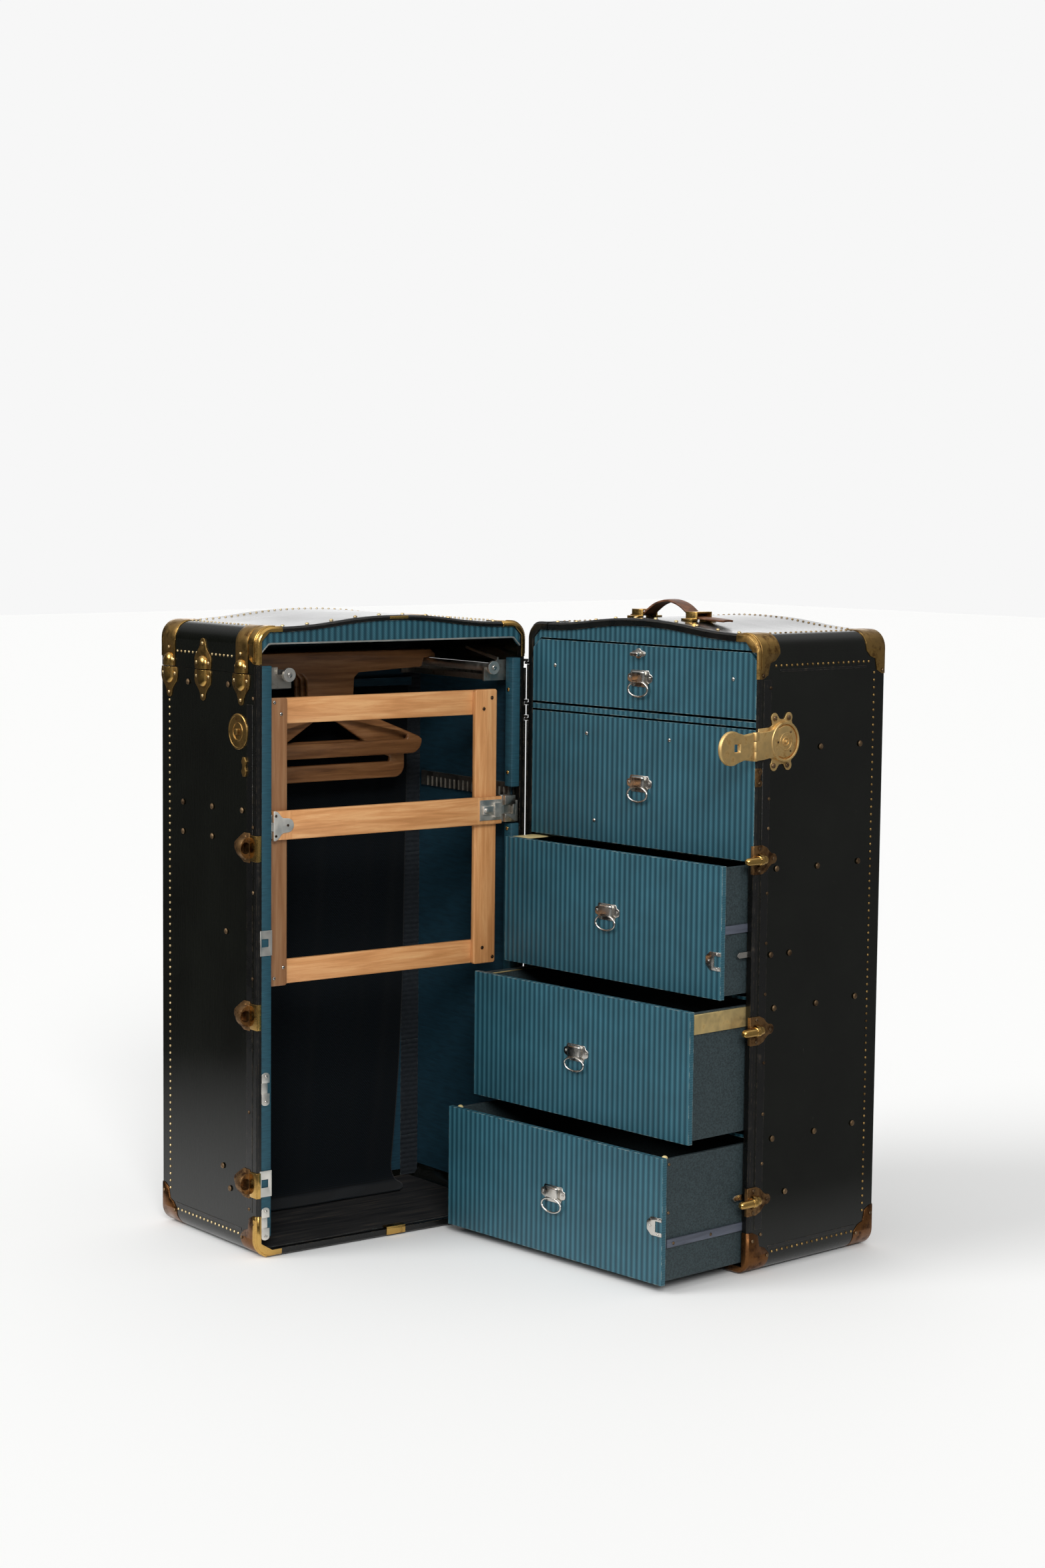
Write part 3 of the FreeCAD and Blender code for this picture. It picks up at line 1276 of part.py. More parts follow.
# the gate's carriage: a hinge block on the outer side and a keeper on the hinge side
rack_foot = size("rack_foot", 706)
rack_top = size("rack_top", 731)
rack_thick = size("rack_thick", 5)
rack_start = size("rack_start", 24)
rack_end = size("rack_end", 276)
rack_face = lined - rack_thick
slide_play = size("slide_play", 0.5)
hinge_plate = block("hinge_plate", (-rack_face + slide_play, gate_axis_x - 3.4),
                    (leaf_back, leaf_back + 2), (gate_level - 27, gate_level + 27))
hinge_slide = block("hinge_slide", (-lined + slide_play, -rack_face + slide_play + 1),
                    (leaf_back, leaf_back + 12), (gate_level - 27, rack_foot - 2.5))
carriage_parts = [hinge_plate, hinge_slide]
for name, low, high in (("low", -19, -7.6), ("high", 7.6, 19)):
    carriage_parts.append(rod(
        f"carriage_knuckle_{name}", "Z", (gate_axis_x, gate_axis_y, gate_level + low),
        high - low, gate_barrel))
    carriage_parts.append(block(
        f"carriage_web_{name}", (gate_axis_x - 4, gate_axis_x), (leaf_back, leaf_back + 2),
        (gate_level + low, gate_level + high)))
carriage_parts.append(rod("carriage_pin", "Z", (gate_axis_x, gate_axis_y, gate_level - 19), 38,
                          gate_pin))
keeper_start = size("keeper_start", 224)
keeper_front = size("keeper_front", 2)
keeper_back = size("keeper_back", 22)
slot_end = keeper_start + 16
slot_back = bolt_y[1] + 0.5
slot_low, slot_high = bolt_low - 0.5, bolt_high + 0.5
keeper_side = rack_face - slide_play
keeper_parts = [
    block("keeper_wall", (keeper_start, keeper_side), (slot_back, keeper_back),
          (keeper_foot, keeper_top)),
    block("keeper_sill", (keeper_start, keeper_side), (keeper_front, slot_back),
          (keeper_foot, slot_low)),
    block("keeper_head", (keeper_start, keeper_side), (keeper_front, slot_back),
          (slot_high, keeper_top)),
    block("keeper_stop", (slot_end, keeper_side), (keeper_front, slot_back),
          (slot_low, slot_high)),
    block("keeper_slide", (keeper_side, lined - slide_play), (keeper_front, keeper_back),
          (keeper_foot, rack_foot - 2.5)),
]
node("gate_slide_blocks", [fuse("gate_carriage_left", carriage_parts), *keeper_parts],
     put_on_hanger_half)

racks = []
rack_pitch = size("rack_pitch", 13)
for side in ("left", "right"):
    reach = (-lined, -rack_face) if side == "left" else (rack_face, lined)
    strip = block(f"rack_{side}", reach, (rack_start, rack_end), (rack_foot, rack_top))
    inner_edge = (-rack_face - 1.5, -rack_face + 1) if side == "left" else (
        rack_face - 1, rack_face + 1.5)
    notches = [block(f"rack_{side}_notch_{n}", inner_edge,
                     (rack_start + 6 + n * rack_pitch, rack_start + 13 + n * rack_pitch),
                     (rack_foot - 1, rack_top - 8)) for n in range(18)]
    racks.append(cut(f"rack_{side}_cut", strip, notches))
node("gate_racks", racks, put_on_hanger_half)

# ---------------------------------------------------------------- main hinge between the halves
def hinge_leaf(name, number, level, side, upper, with_pin):
    """One leaf of a main hinge knuckle pair: on the drawer half side is -1, else 1."""
    axis_x = side * hinge_reach
    low = level + knuckle_gap / 2 if upper else level - knuckle_gap / 2 - knuckle_high
    edge = side * half_width
    outside = (edge, edge + side * leaf_thick) if side > 0 else (edge - leaf_thick, edge)
    plate = block(f"{name}_{number}_plate", outside, (leaf_start - 0.5, leaf_end),
                  (level - leaf_high, level + leaf_high))
    web_x = (edge, axis_x - 0.4) if side > 0 else (axis_x + 0.4, edge)
    web = block(f"{name}_{number}_web", web_x, (0, leaf_start), (low, low + knuckle_high))
    barrel = rod(f"{name}_{number}_barrel", "Z", (axis_x, 0, low), knuckle_high, main_barrel)
    if with_pin:
        pin = rod(f"{name}_{number}_pin", "Z", (axis_x, 0, level - knuckle_gap / 2 - knuckle_high),
                  2 * knuckle_high + knuckle_gap, main_pin)
        return fuse(f"{name}_{number}", [plate, web, barrel, pin])
    bore = rod(f"{name}_{number}_bore", "Z", (axis_x, 0, low - 1), knuckle_high + 2,
               main_pin + main_play)
    return cut(f"{name}_{number}", fuse(f"{name}_{number}_sum", [plate, web, barrel]), [bore])


node("hinge_leaves_drawer_side", [
    hinge_leaf("drawer_leaf", number, level, -1, False, False)
    for number, level in hinge_levels.items()], put_on_drawer_half)
node("hinge_leaves_hanger_side", [
    hinge_leaf("hanger_leaf", number, level, 1, True, True)
    for number, level in hinge_levels.items()], put_on_hanger_half)

doc.recompute()
for obj in doc.Objects:
    if "Invalid" in obj.State or "Error" in obj.State:
        raise RuntimeError(f"{obj.Label} did not recompute: {obj.State}")
os.makedirs("parts", exist_ok=True)
for obj in nodes:
    shape = obj.Shape
    if shape.isNull() or not shape.isValid():
        raise RuntimeError(f"{obj.Label} has no valid shape")
    shape.exportStep(f"parts/{obj.Label}.step")
    print(obj.Label, len(shape.Solids), round(shape.Volume), shape.BoundBox)
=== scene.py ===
import json
import math

import bpy
from mathutils import Matrix, Vector
from mathutils.bvhtree import BVHTree

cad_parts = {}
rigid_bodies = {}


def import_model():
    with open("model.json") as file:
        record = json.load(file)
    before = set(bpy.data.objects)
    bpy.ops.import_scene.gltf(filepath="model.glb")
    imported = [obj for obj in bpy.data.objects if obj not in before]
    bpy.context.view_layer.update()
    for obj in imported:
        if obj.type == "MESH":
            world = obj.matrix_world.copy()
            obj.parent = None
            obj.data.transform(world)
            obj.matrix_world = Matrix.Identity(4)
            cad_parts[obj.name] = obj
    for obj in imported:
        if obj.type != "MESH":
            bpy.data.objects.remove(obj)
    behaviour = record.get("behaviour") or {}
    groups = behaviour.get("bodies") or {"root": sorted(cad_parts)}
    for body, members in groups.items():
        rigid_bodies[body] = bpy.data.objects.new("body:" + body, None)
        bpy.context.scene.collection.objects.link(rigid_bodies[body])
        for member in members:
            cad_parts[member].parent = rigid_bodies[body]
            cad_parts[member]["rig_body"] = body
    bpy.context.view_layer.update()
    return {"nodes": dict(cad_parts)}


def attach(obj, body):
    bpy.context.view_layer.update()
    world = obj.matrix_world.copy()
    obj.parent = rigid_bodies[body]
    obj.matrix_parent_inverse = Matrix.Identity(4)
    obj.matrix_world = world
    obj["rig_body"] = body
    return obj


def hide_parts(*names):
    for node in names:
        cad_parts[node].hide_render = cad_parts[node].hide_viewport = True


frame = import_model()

mm = 0.001
nodes = frame["nodes"]
print("frame loaded")

# where the two halves stand: the hanger half is turned on the main hinge
trunk = {"halfWidth": 263.6, "depth": 298, "turn": 84.6}


def halfPlace(half):
    middle = -trunk["depth"] / 2 * mm
    if half == "drawers":
        return Matrix.Translation((0, middle, 0))
    turn = math.radians(trunk["turn"])
    reach = trunk["halfWidth"] * mm
    base = (-reach * (1 + math.cos(turn)), middle - reach * math.sin(turn), 0)
    return Matrix.Translation(base) @ Matrix.Rotation(turn, 4, "Z")


# ---- camera and light

view = {"spot": (3.2536, -3.3749, 1.2169), "heading": (-0.7376, 0.6752), "down": 5.83,
        "roll": 0.605, "lens": 66.02, "sensor": 36}


def addCamera():
    data = bpy.data.cameras.new("camera")
    data.sensor_fit = "VERTICAL"
    data.sensor_height = view["sensor"]
    data.lens = view["lens"]
    data.clip_end = 60
    camera = bpy.data.objects.new("camera", data)
    bpy.context.scene.collection.objects.link(camera)
    down, roll = math.radians(view["down"]), math.radians(view["roll"])
    level = Vector((*view["heading"], 0)).normalized()
    ahead = level * math.cos(down) - Vector((0, 0, 1)) * math.sin(down)
    right = ahead.cross(Vector((0, 0, 1))).normalized()
    up = right.cross(ahead)
    right, up = (right * math.cos(roll) + up * math.sin(roll),
                 up * math.cos(roll) - right * math.sin(roll))
    turn = Matrix((right, up, -ahead)).transposed().to_4x4()
    camera.matrix_world = Matrix.Translation(view["spot"]) @ turn
    bpy.context.scene.camera = camera


light = {"world": 0.92, "gain": 0.55, "backdrop": "#f7f7f7", "wall": "#f4f4f4",
         "screen": "#838383", "wallEdge": (0.82, 0.95), "screenEdge": (0.6, 0.9),
         "sky": [(0.5, "#2e2e2e"), (0.64, "#444444"), (0.82, "#b4b4b4"), (0.97, "#ffffff")],
         "suns": [("right", (2.7, -2.0, 1.9), 1.9, 22), ("left", (-1.3, -3.4, 2.3), 1.5, 30)],
         "behind": (-0.7376, 0.6752, 0.0), "beside": (0.72, 0.69, 0.0)}


def addLight():
    world = bpy.data.worlds.new("studio")
    bpy.context.scene.world = world
    world.use_nodes = True
    tree = world.node_tree
    tree.nodes.clear()
    ray = put(tree, "ShaderNodeLightPath").outputs
    seen = worked(tree, "ADD", ray["Is Camera Ray"], ray["Is Transmission Ray"], use_clamp=True)
    shown = put(tree, "ShaderNodeBackground", {"Color": paint(light["backdrop"]), "Strength": 1.0})
    way = put(tree, "ShaderNodeTexCoord").outputs["Generated"]
    sky = ramp(tree, spread(tree, axes(tree, way)["Z"], (-1.0, 1.0)), light["sky"])
    # the white backdrop stands behind the trunk only, so its sides mirror the dark studio
    wall, screen = (spread(tree, vectorWork(tree, "DOT_PRODUCT", way, light[side])["Value"],
                           light[edge])
                    for side, edge in (("behind", "wallEdge"), ("beside", "screenEdge")))
    both = mixed(tree, screen, mixed(tree, wall, sky, light["wall"]), light["screen"])
    power = worked(tree, "MULTIPLY_ADD", wall, light["gain"], 1.0)
    lit = put(tree, "ShaderNodeBackground", {"Color": both,
              "Strength": worked(tree, "MULTIPLY", power, light["world"])})
    mix = put(tree, "ShaderNodeMixShader", {0: seen, 1: lit.outputs[0], 2: shown.outputs[0]})
    put(tree, "ShaderNodeOutputWorld", {"Surface": mix.outputs[0]})
    for name, source, power, blur in light["suns"]:
        data = bpy.data.lights.new(name, "SUN")
        data.energy, data.angle = power, math.radians(blur)
        lamp = bpy.data.objects.new(name, data)
        bpy.context.scene.collection.objects.link(lamp)
        lamp.rotation_euler = (-Vector(source)).to_track_quat("-Z", "Y").to_euler()


floor = {"size": 40, "below": -0.0006, "colour": "#f3f3f2", "dark": ("#0a0a0a", "#6c6c6c"),
         "ends": (0.85, 2.3), "right": (0.25, 0.6)}


def addFloor():
    bpy.ops.mesh.primitive_plane_add(size=floor["size"], location=(0, 0, floor["below"]))
    ground = bpy.context.object
    ground.name = "floor"
    finish, tree, shader = startFinish("matt backdrop paper", {"Roughness": 0.9,
                                       "Base Color": paint(floor["colour"])})
    # mirrored in the lacquer, the sheet ends a step away and the studio floor is dark
    spot = objectSpot(tree)
    past = spread(tree, vectorWork(tree, "LENGTH", spot)["Value"], floor["ends"])
    right = spread(tree, axes(tree, spot)["X"], floor["right"])
    mirrored = worked(tree, "MULTIPLY", worked(tree, "MAXIMUM", past, right),
                      put(tree, "ShaderNodeLightPath").outputs["Is Glossy Ray"])
    dim = mixed(tree, right, *floor["dark"])
    dress(tree, shader, mixed(tree, mirrored, floor["colour"], dim))
    ground.data.materials.append(finish)


# ---- nodes: put adds one, the short functions below it add one kind each

def paint(code):
    values = [int(code[i:i + 2], 16) / 255 for i in (1, 3, 5)]
    return [v / 12.92 if v <= 0.04045 else ((v + 0.055) / 1.055) ** 2.4 for v in values] + [1.0]


def put(tree, kind, inputs=None, stops=None, **settings):
    made = tree.nodes.new(kind)
    for name, value in settings.items():
        setattr(made, name, value)
    if stops:
        elements = made.color_ramp.elements
        while len(elements) < len(stops):
            elements.new(0.5)
        for step, (place, code) in zip(elements, stops):
            step.position = place
            step.color = paint(code)
    for name, value in (inputs or {}).items():
        if isinstance(value, bpy.types.NodeSocket):
            tree.links.new(value, made.inputs[name])
        else:
            made.inputs[name].default_value = value
    return made


def noise(tree, vector, size=None, detail=2.0, rough=0.5, bend=0.0):
    # size in mm; without one the vector has been stretched to size already
    return put(tree, "ShaderNodeTexNoise", {"Vector": vector, "Scale": 1 / (size * mm) if size
               else 1.0, "Detail": detail, "Roughness": rough, "Distortion": bend}).outputs[0]


def wave(tree, vector, size, bands, bend=0.0, fine=1.0):
    # lines that are `size` mm apart
    return put(tree, "ShaderNodeTexWave", {"Vector": vector, "Scale": 0.31416 / (size * mm),
               "Distortion": bend, "Detail Scale": fine}, bands_direction=bands).outputs["Fac"]


def spread(tree, value, source, to=(0.0, 1.0)):
    return put(tree, "ShaderNodeMapRange", {"Value": value, "From Min": source[0],
               "From Max": source[1], "To Min": to[0], "To Max": to[1]}).outputs[0]


def mixed(tree, share, first, second, **settings):
    colours = [paint(item) if isinstance(item, str) else item for item in (first, second)]
    return put(tree, "ShaderNodeMixRGB", {"Fac": share, "Color1": colours[0],
               "Color2": colours[1]}, **settings).outputs[0]


def worked(tree, operation, *values, **settings):
    return put(tree, "ShaderNodeMath", dict(enumerate(values)), operation=operation,
               **settings).outputs[0]


def vectorWork(tree, operation, *values):
    return put(tree, "ShaderNodeVectorMath", dict(enumerate(values)),
               operation=operation).outputs


def ramp(tree, share, stops):
    return put(tree, "ShaderNodeValToRGB", {"Fac": share}, stops=stops).outputs[0]


def axes(tree, vector):
    return put(tree, "ShaderNodeSeparateXYZ", {"Vector": vector}).outputs


def objectSpot(tree):
    return put(tree, "ShaderNodeTexCoord").outputs["Object"]


def turnedBy(tree, vector, turn):
    return put(tree, "ShaderNodeMapping", {"Vector": vector, "Rotation": turn}).outputs[0]


def stretched(tree, vector, sizes, turn=(0, 0, 0)):
    # one unit is sizes[axis] mm long
    return put(tree, "ShaderNodeMapping", {"Vector": vector, "Rotation": turn,
               "Scale": [1 / (size * mm) for size in sizes]}).outputs[0]


def roundEdges(tree, reach):
    return put(tree, "ShaderNodeBevel", {"Radius": reach * mm}, samples=4).outputs[0]


def bumped(tree, height, deep, strength, soft=None, over=None):
    # relief `deep` mm deep, over another normal or over edges rounded by `soft` mm
    inputs = {"Height": height, "Distance": deep * mm, "Strength": strength}
    if soft or over:
        inputs["Normal"] = over or roundEdges(tree, soft)
    return put(tree, "ShaderNodeBump", inputs).outputs[0]


def startFinish(name, values):
    finish = bpy.data.materials.new(name)
    finish.use_nodes = True
    tree = finish.node_tree
    tree.nodes.clear()
    shader = put(tree, "ShaderNodeBsdfPrincipled", values)
    put(tree, "ShaderNodeOutputMaterial", {"Surface": shader.outputs[0]})
    return finish, tree, shader


def dress(tree, shader, colour, rough=None, normal=None):
    for name, source in (("Base Color", colour), ("Roughness", rough), ("Normal", normal)):
        if source:
            tree.links.new(source, shader.inputs[name])


def halfCoordinates(tree, half):
    turn = math.radians(trunk["turn"]) if half == "hanger" else 0
    return put(tree, "ShaderNodeMapping", {"Vector": objectSpot(tree),
               "Location": halfPlace(half).translation, "Rotation": (0, 0, turn)},
               vector_type="TEXTURE").outputs[0]


edgeWear = {"bend": (0.985, 0.86), "patch": 9, "detail": 5.0, "broken": (0.46, 0.62)}


def wornEdge(tree, reach, vector):
    # 1 near the piece's own edges, broken up by a coarse noise
    flat = put(tree, "ShaderNodeNewGeometry").outputs["Normal"]
    same = vectorWork(tree, "DOT_PRODUCT", roundEdges(tree, reach), flat)["Value"]
    patches = noise(tree, vector, edgeWear["patch"], edgeWear["detail"])
    return worked(tree, "MULTIPLY", spread(tree, same, edgeWear["bend"]),
                  spread(tree, patches, edgeWear["broken"]))


# ---- finishes; noises and grains are sized in mm

fibre = {"stops": [(0.3, "#050603"), (0.75, "#0b0d08")], "scuff": "#4a483f", "blotch": 110,
         "wrinkle": (7, 7, 70), "grain": 0.9, "scratch": (4, 4, 26), "tilt": (0.5, 0.3, 0.2)}


def vulcanisedFibre(half):
    # vulcanised fibre over board, lacquered: dark, glossy, slightly wrinkled down its length
    finish, tree, shader = startFinish(f"vulcanised fibre {half}", {"IOR": 1.5,
                                       "Specular IOR Level": 0.05, "Coat Weight": 0.75,
                                       "Coat Roughness": 0.1})
    local = halfCoordinates(tree, half)
    blotch = noise(tree, local, fibre["blotch"], detail=6.0, rough=0.6)
    wrinkle = noise(tree, stretched(tree, local, fibre["wrinkle"]), detail=3.0)
    grain = noise(tree, local, fibre["grain"])
    scratch = noise(tree, stretched(tree, local, fibre["scratch"], fibre["tilt"]), detail=8.0,
                    rough=0.7)
    scuffed = mixed(tree, spread(tree, scratch, (0.69, 0.74), to=(0.0, 0.55)),
                    ramp(tree, blotch, fibre["stops"]), fibre["scuff"])
    gloss = spread(tree, blotch, (0.3, 0.7), to=(0.24, 0.42))
    lumps = bumped(tree, wrinkle, deep=0.5, strength=0.22, soft=1.2)
    dress(tree, shader, scuffed, gloss, bumped(tree, grain, deep=0.12, strength=0.3, over=lumps))
    return finish


binding = {"ground": "#090908", "worn": "#4b4133", "rub": 34, "grain": 1.6, "edge": 1.6}


def blackBinding():
    # lacquered fibre binding strip: nearly black, glossy, rubbed brown on its edges
    finish, tree, shader = startFinish("lacquered fibre binding", {"IOR": 1.5,
                                       "Specular IOR Level": 0.35, "Coat Weight": 0.25,
                                       "Coat Roughness": 0.12})
    local = objectSpot(tree)
    rub = noise(tree, local, binding["rub"], detail=7.0, rough=0.68)
    worn = worked(tree, "MAXIMUM", spread(tree, rub, (0.64, 0.74), to=(0.0, 0.6)),
                  wornEdge(tree, binding["edge"], local))
    dress(tree, shader, mixed(tree, worn, binding["ground"], binding["worn"]),
          spread(tree, rub, (0.35, 0.7), to=(0.2, 0.45)),
          bumped(tree, noise(tree, local, binding["grain"], detail=3.0), deep=0.2,
                 strength=0.25, soft=1.0))
    return finish


ribbed = {"pitch": 11.4, "stops": [(0.14, "#133a47"), (0.34, "#194552")], "crest": "#3b6b79",
          "thread": 2.6, "slant": (0, 0.75, 0), "worn": "#a9b5ac", "cloud": 60, "speck": 5}


def ribbedPaper(half):
    # embossed ribbed paper glued to board: satin blue-green, a thread line along every rib
    finish, tree, shader = startFinish(f"ribbed paper {half}", {"Roughness": 0.46, "IOR": 1.5,
                                       "Specular IOR Level": 0.45})
    local = halfCoordinates(tree, half)
    reach = ribbed["pitch"] / 2 * mm
    across = worked(tree, "DIVIDE", worked(tree, "PINGPONG", axes(tree, local)["X"], reach), reach)
    threads = wave(tree, turnedBy(tree, local, ribbed["slant"]), ribbed["thread"], "X", bend=0.6)
    stitched = worked(tree, "MULTIPLY", spread(tree, across, (0.35, 0.85)),
                      spread(tree, threads, (0.1, 0.9), to=(0.25, 1.0)))
    lined = mixed(tree, stitched, ramp(tree, across, ribbed["stops"]), ribbed["crest"])
    shade = spread(tree, noise(tree, local, ribbed["cloud"], detail=4.0), (0.3, 0.7),
                   to=(0.86, 1.1))
    tinted = vectorWork(tree, "MULTIPLY", lined, shade)[0]
    speck = noise(tree, local, ribbed["speck"], detail=6.0, rough=0.75)
    worn = worked(tree, "MAXIMUM", wornEdge(tree, 1.3, local),
                  spread(tree, speck, (0.735, 0.76), to=(0.0, 0.5)))
    dress(tree, shader, mixed(tree, worn, tinted, ribbed["worn"]), None,
          bumped(tree, worked(tree, "ADD", stitched, across), deep=0.35, strength=0.5, soft=0.6))
    return finish


weave = {"lining": ("#112b38", "#1b3f4e", 1.5, 26), "linen": ("#20292c", "#39474a", 1.3, 3),
         "batten": ("#193c49", "#255361", 1.5, 22), "inside": ("#14181c", "#23282d", 1.6, 5)}
floorPaper = {"top": 16, "streak": (90, 5, 5),
              "stops": [(0.35, "#17181a"), (0.6, "#2e2d2c"), (0.75, "#4f463c")]}


def wovenPaper(name, half):
    # book cloth over board: matt, fine threads, a slub here and there
    low, high, thread, slub = weave[name]
    finish, tree, shader = startFinish(f"{name} book cloth {half}", {"Roughness": 0.6,
                                       "IOR": 1.5, "Specular IOR Level": 0.35})
    local = halfCoordinates(tree, half)
    up, side = (wave(tree, local, thread, bands, bend=1.2, fine=2.0)
                for bands in ("Z", "DIAGONAL"))
    slubs = noise(tree, stretched(tree, local, (slub, slub, 2.4)), detail=4.0)
    both = worked(tree, "MULTIPLY_ADD", worked(tree, "MULTIPLY", up, side), 0.35, slubs)
    ground = ramp(tree, both, [(0.4, low), (0.85, high)])
    if name == "lining":      # the floor is papered in charcoal, rubbed brown along its front
        below = worked(tree, "LESS_THAN", axes(tree, local)["Z"], floorPaper["top"] * mm)
        streaks = noise(tree, stretched(tree, local, floorPaper["streak"]), detail=6.0)
        ground = mixed(tree, below, ground, ramp(tree, streaks, floorPaper["stops"]))
    colour = mixed(tree, wornEdge(tree, 1.2, local), ground,
                   "#8d9890" if name == "batten" else "#59605c")
    dress(tree, shader, colour, None, bumped(tree, both, deep=0.15, strength=0.5, soft=0.8))
    return finish


timber = {"gate": ("#b37a48", "#cf935d", "#e4b27b", 0.3), "hanger": ("#603c22", "#8c5e38",
          "#ab7a4f", 0.28), "runner": ("#363a44", "#474c58", "#5a5f6c", 0.45),
          "rail": ("#b6a06a", "#d3bf86", "#e3d3a2", 0.4)}
# older is painted shade, multiplied into the gate's left stile behind the rail fronts
woodGrain = {"long": 140, "fine": 9, "pores": (9, 9, 9), "stiles": (-190, 172.5),
             "front": 17, "older": "#b3b2ba"}


def grainAlong(tree, local, way):
    return stretched(tree, local, [woodGrain["long" if axis == way else "fine"]
                                   for axis in "xyz"])


def varnishedWood(name, half, along):
    # planed hardwood under thin varnish: long grain with short dark pores
    dark, middle, pale, gloss = timber[name]
    finish, tree, shader = startFinish(f"{name} varnished wood {half}", {"IOR": 1.5,
                                       "Coat Weight": 0.25, "Coat Roughness": 0.2})
    local = halfCoordinates(tree, half)
    paintedStileShade = None
    if along == "gate":      # stiles stand at both ends, rails lie between them
        split, (left, right) = axes(tree, local), woodGrain["stiles"]
        low = worked(tree, "LESS_THAN", split["X"], left * mm)
        high = worked(tree, "GREATER_THAN", split["X"], right * mm)
        # painted shade mask: the left stile where it lies deeper than the rails' front faces
        deep = worked(tree, "GREATER_THAN", split["Y"], woodGrain["front"] * mm)
        paintedStileShade = worked(tree, "MULTIPLY", low, deep)
        way = mixed(tree, worked(tree, "MAXIMUM", low, high), grainAlong(tree, local, "x"),
                    grainAlong(tree, local, "z"))
    else:
        way = grainAlong(tree, local, along)
    grain = noise(tree, way, detail=7.0, rough=0.62, bend=0.4)
    pores = noise(tree, vectorWork(tree, "MULTIPLY", way, woodGrain["pores"])[0], detail=3.0)
    ground = ramp(tree, grain, [(0.28, dark), (0.5, middle), (0.74, pale)])
    colour = mixed(tree, spread(tree, pores, (0.6, 0.72), to=(0.0, 0.4)), ground, dark)
    if paintedStileShade:               # painted shade: the gate's left stile, where it lies behind the rails' front faces, is darkened as if in shadow
        colour = mixed(tree, paintedStileShade, colour, woodGrain["older"], blend_type="MULTIPLY")
    dress(tree, shader, colour, spread(tree, grain, (0.3, 0.7), to=(gloss, gloss + 0.15)),
          bumped(tree, pores, deep=0.1, strength=0.3, soft=1.4))
    return finish


# name, clean colour, tarnished colour, share of the surface that is clean, roughness
metals = {"brass": ("bright brass", "#cfa65e", "#7d5729", 0.7, 0.13),
          "brassAged": ("aged brass", "#b18d52", "#5f4426", 0.62, 0.26),
          "oldBrass": ("old brass", "#93714a", "#452f1e", 0.58, 0.36),
          "nickel": ("nickel", "#d2cec7", "#a39c90", 0.78, 0.14),
          "dullNickel": ("dull nickel", "#b3aea5", "#7d766b", 0.66, 0.28),
          "satin": ("satin nickel", "#e4e0d8", "#a8a297", 0.74, 0.36),
          "matt": ("matt nickel", "#f3efe7", "#d8d2c8", 0.8, 0.56),
          "satinBrass": ("satin brass", "#f0cd8c", "#b48d52", 0.66, 0.42),
          "gilt": ("gilt strip", "#f4dca0", "#cda765", 0.72, 0.5),
          "nailAged": ("aged nails", "#b8975f", "#5d472c", 0.6, 0.4),
          "screw": ("iron screw", "#5e4a3a", "#2f2722", 0.55, 0.45),
          "nail": ("nail brass", "#ecd3a0", "#94774a", 0.66, 0.3),
          "rivet": ("rivet iron", "#8c7458", "#4a3a2c", 0.56, 0.42)}
metalWear = {"patch": 16, "dent": 6, "rust": "#7a5230", "scale": "#3d281a", "up": (0.35, 0.75),
             "bead": (13 * mm, 10 * mm)}


def wornMetal(key, rustyFoot=None):
    # plated or solid sheet metal, once polished: clean in places, tarnish in patches
    name, clean, dull, share, gloss = metals[key]
    label = f"brassed corner iron {rustyFoot}" if rustyFoot else name
    finish, tree, shader = startFinish(label, {"Metallic": 1.0})
    local = objectSpot(tree)
    patch = noise(tree, local, metalWear["patch"], detail=8.0, rough=0.65)
    tarnish = spread(tree, patch, (share - 0.13, share + 0.05))
    colour = mixed(tree, tarnish, clean, dull)
    if rustyFoot:             # the corners that stand on the floor have lost their brass
        split = axes(tree, halfCoordinates(tree, rustyFoot))
        up = spread(tree, split["Z"], metalWear["up"])
        if rustyFoot == "hanger":         # its front bead is solid brass and has kept it
            up = worked(tree, "MAXIMUM", up, spread(tree, split["Y"], metalWear["bead"]))
        rust = mixed(tree, tarnish, metalWear["rust"], metalWear["scale"])
        colour = mixed(tree, up, rust, colour)
    dress(tree, shader, colour,
          spread(tree, patch, (0.35, share + 0.05), to=(gloss, gloss + 0.3)),
          bumped(tree, noise(tree, local, metalWear["dent"], detail=4.0), deep=0.25,
                 strength=0.3, soft=0.7))
    return finish


strap = {"stops": [(0.3, "#33201a"), (0.5, "#6b432b"), (0.72, "#94674a")], "pale": "#94674a",
         "pore": 1.6, "patch": 18, "edge": 1.5}


def strapLeather():
    # bridle leather, handled for decades: brown, waxed, darker in patches, paler on its edges
    finish, tree, shader = startFinish("bridle leather", {"IOR": 1.5, "Coat Weight": 0.15,
                                       "Coat Roughness": 0.3})
    local = objectSpot(tree)
    cells = put(tree, "ShaderNodeTexVoronoi", {"Vector": local, "Scale": 1 / (strap["pore"] * mm)},
                feature="DISTANCE_TO_EDGE").outputs["Distance"]
    worn = noise(tree, local, strap["patch"], detail=6.0, rough=0.65)
    dress(tree, shader, mixed(tree, wornEdge(tree, strap["edge"], local),
                              ramp(tree, worn, strap["stops"]), strap["pale"]),
          spread(tree, worn, (0.3, 0.7), to=(0.38, 0.62)),
          bumped(tree, cells, deep=0.25, strength=0.4, soft=0.8))
    return finish


def waxedThread():
    # waxed linen thread, darkened with the leather
    finish, tree, shader = startFinish("waxed linen thread", {"Roughness": 0.6})
    soil = noise(tree, objectSpot(tree), size=12, detail=3.0)
    dress(tree, shader, ramp(tree, soil, [(0.35, "#2b1d14"), (0.65, "#5d4733")]))
    return finish


cloth = {"stops": [(0.1, "#020507"), (0.8, "#0b141b")], "twill": 3.2, "slant": (0, 0.7, 0)}


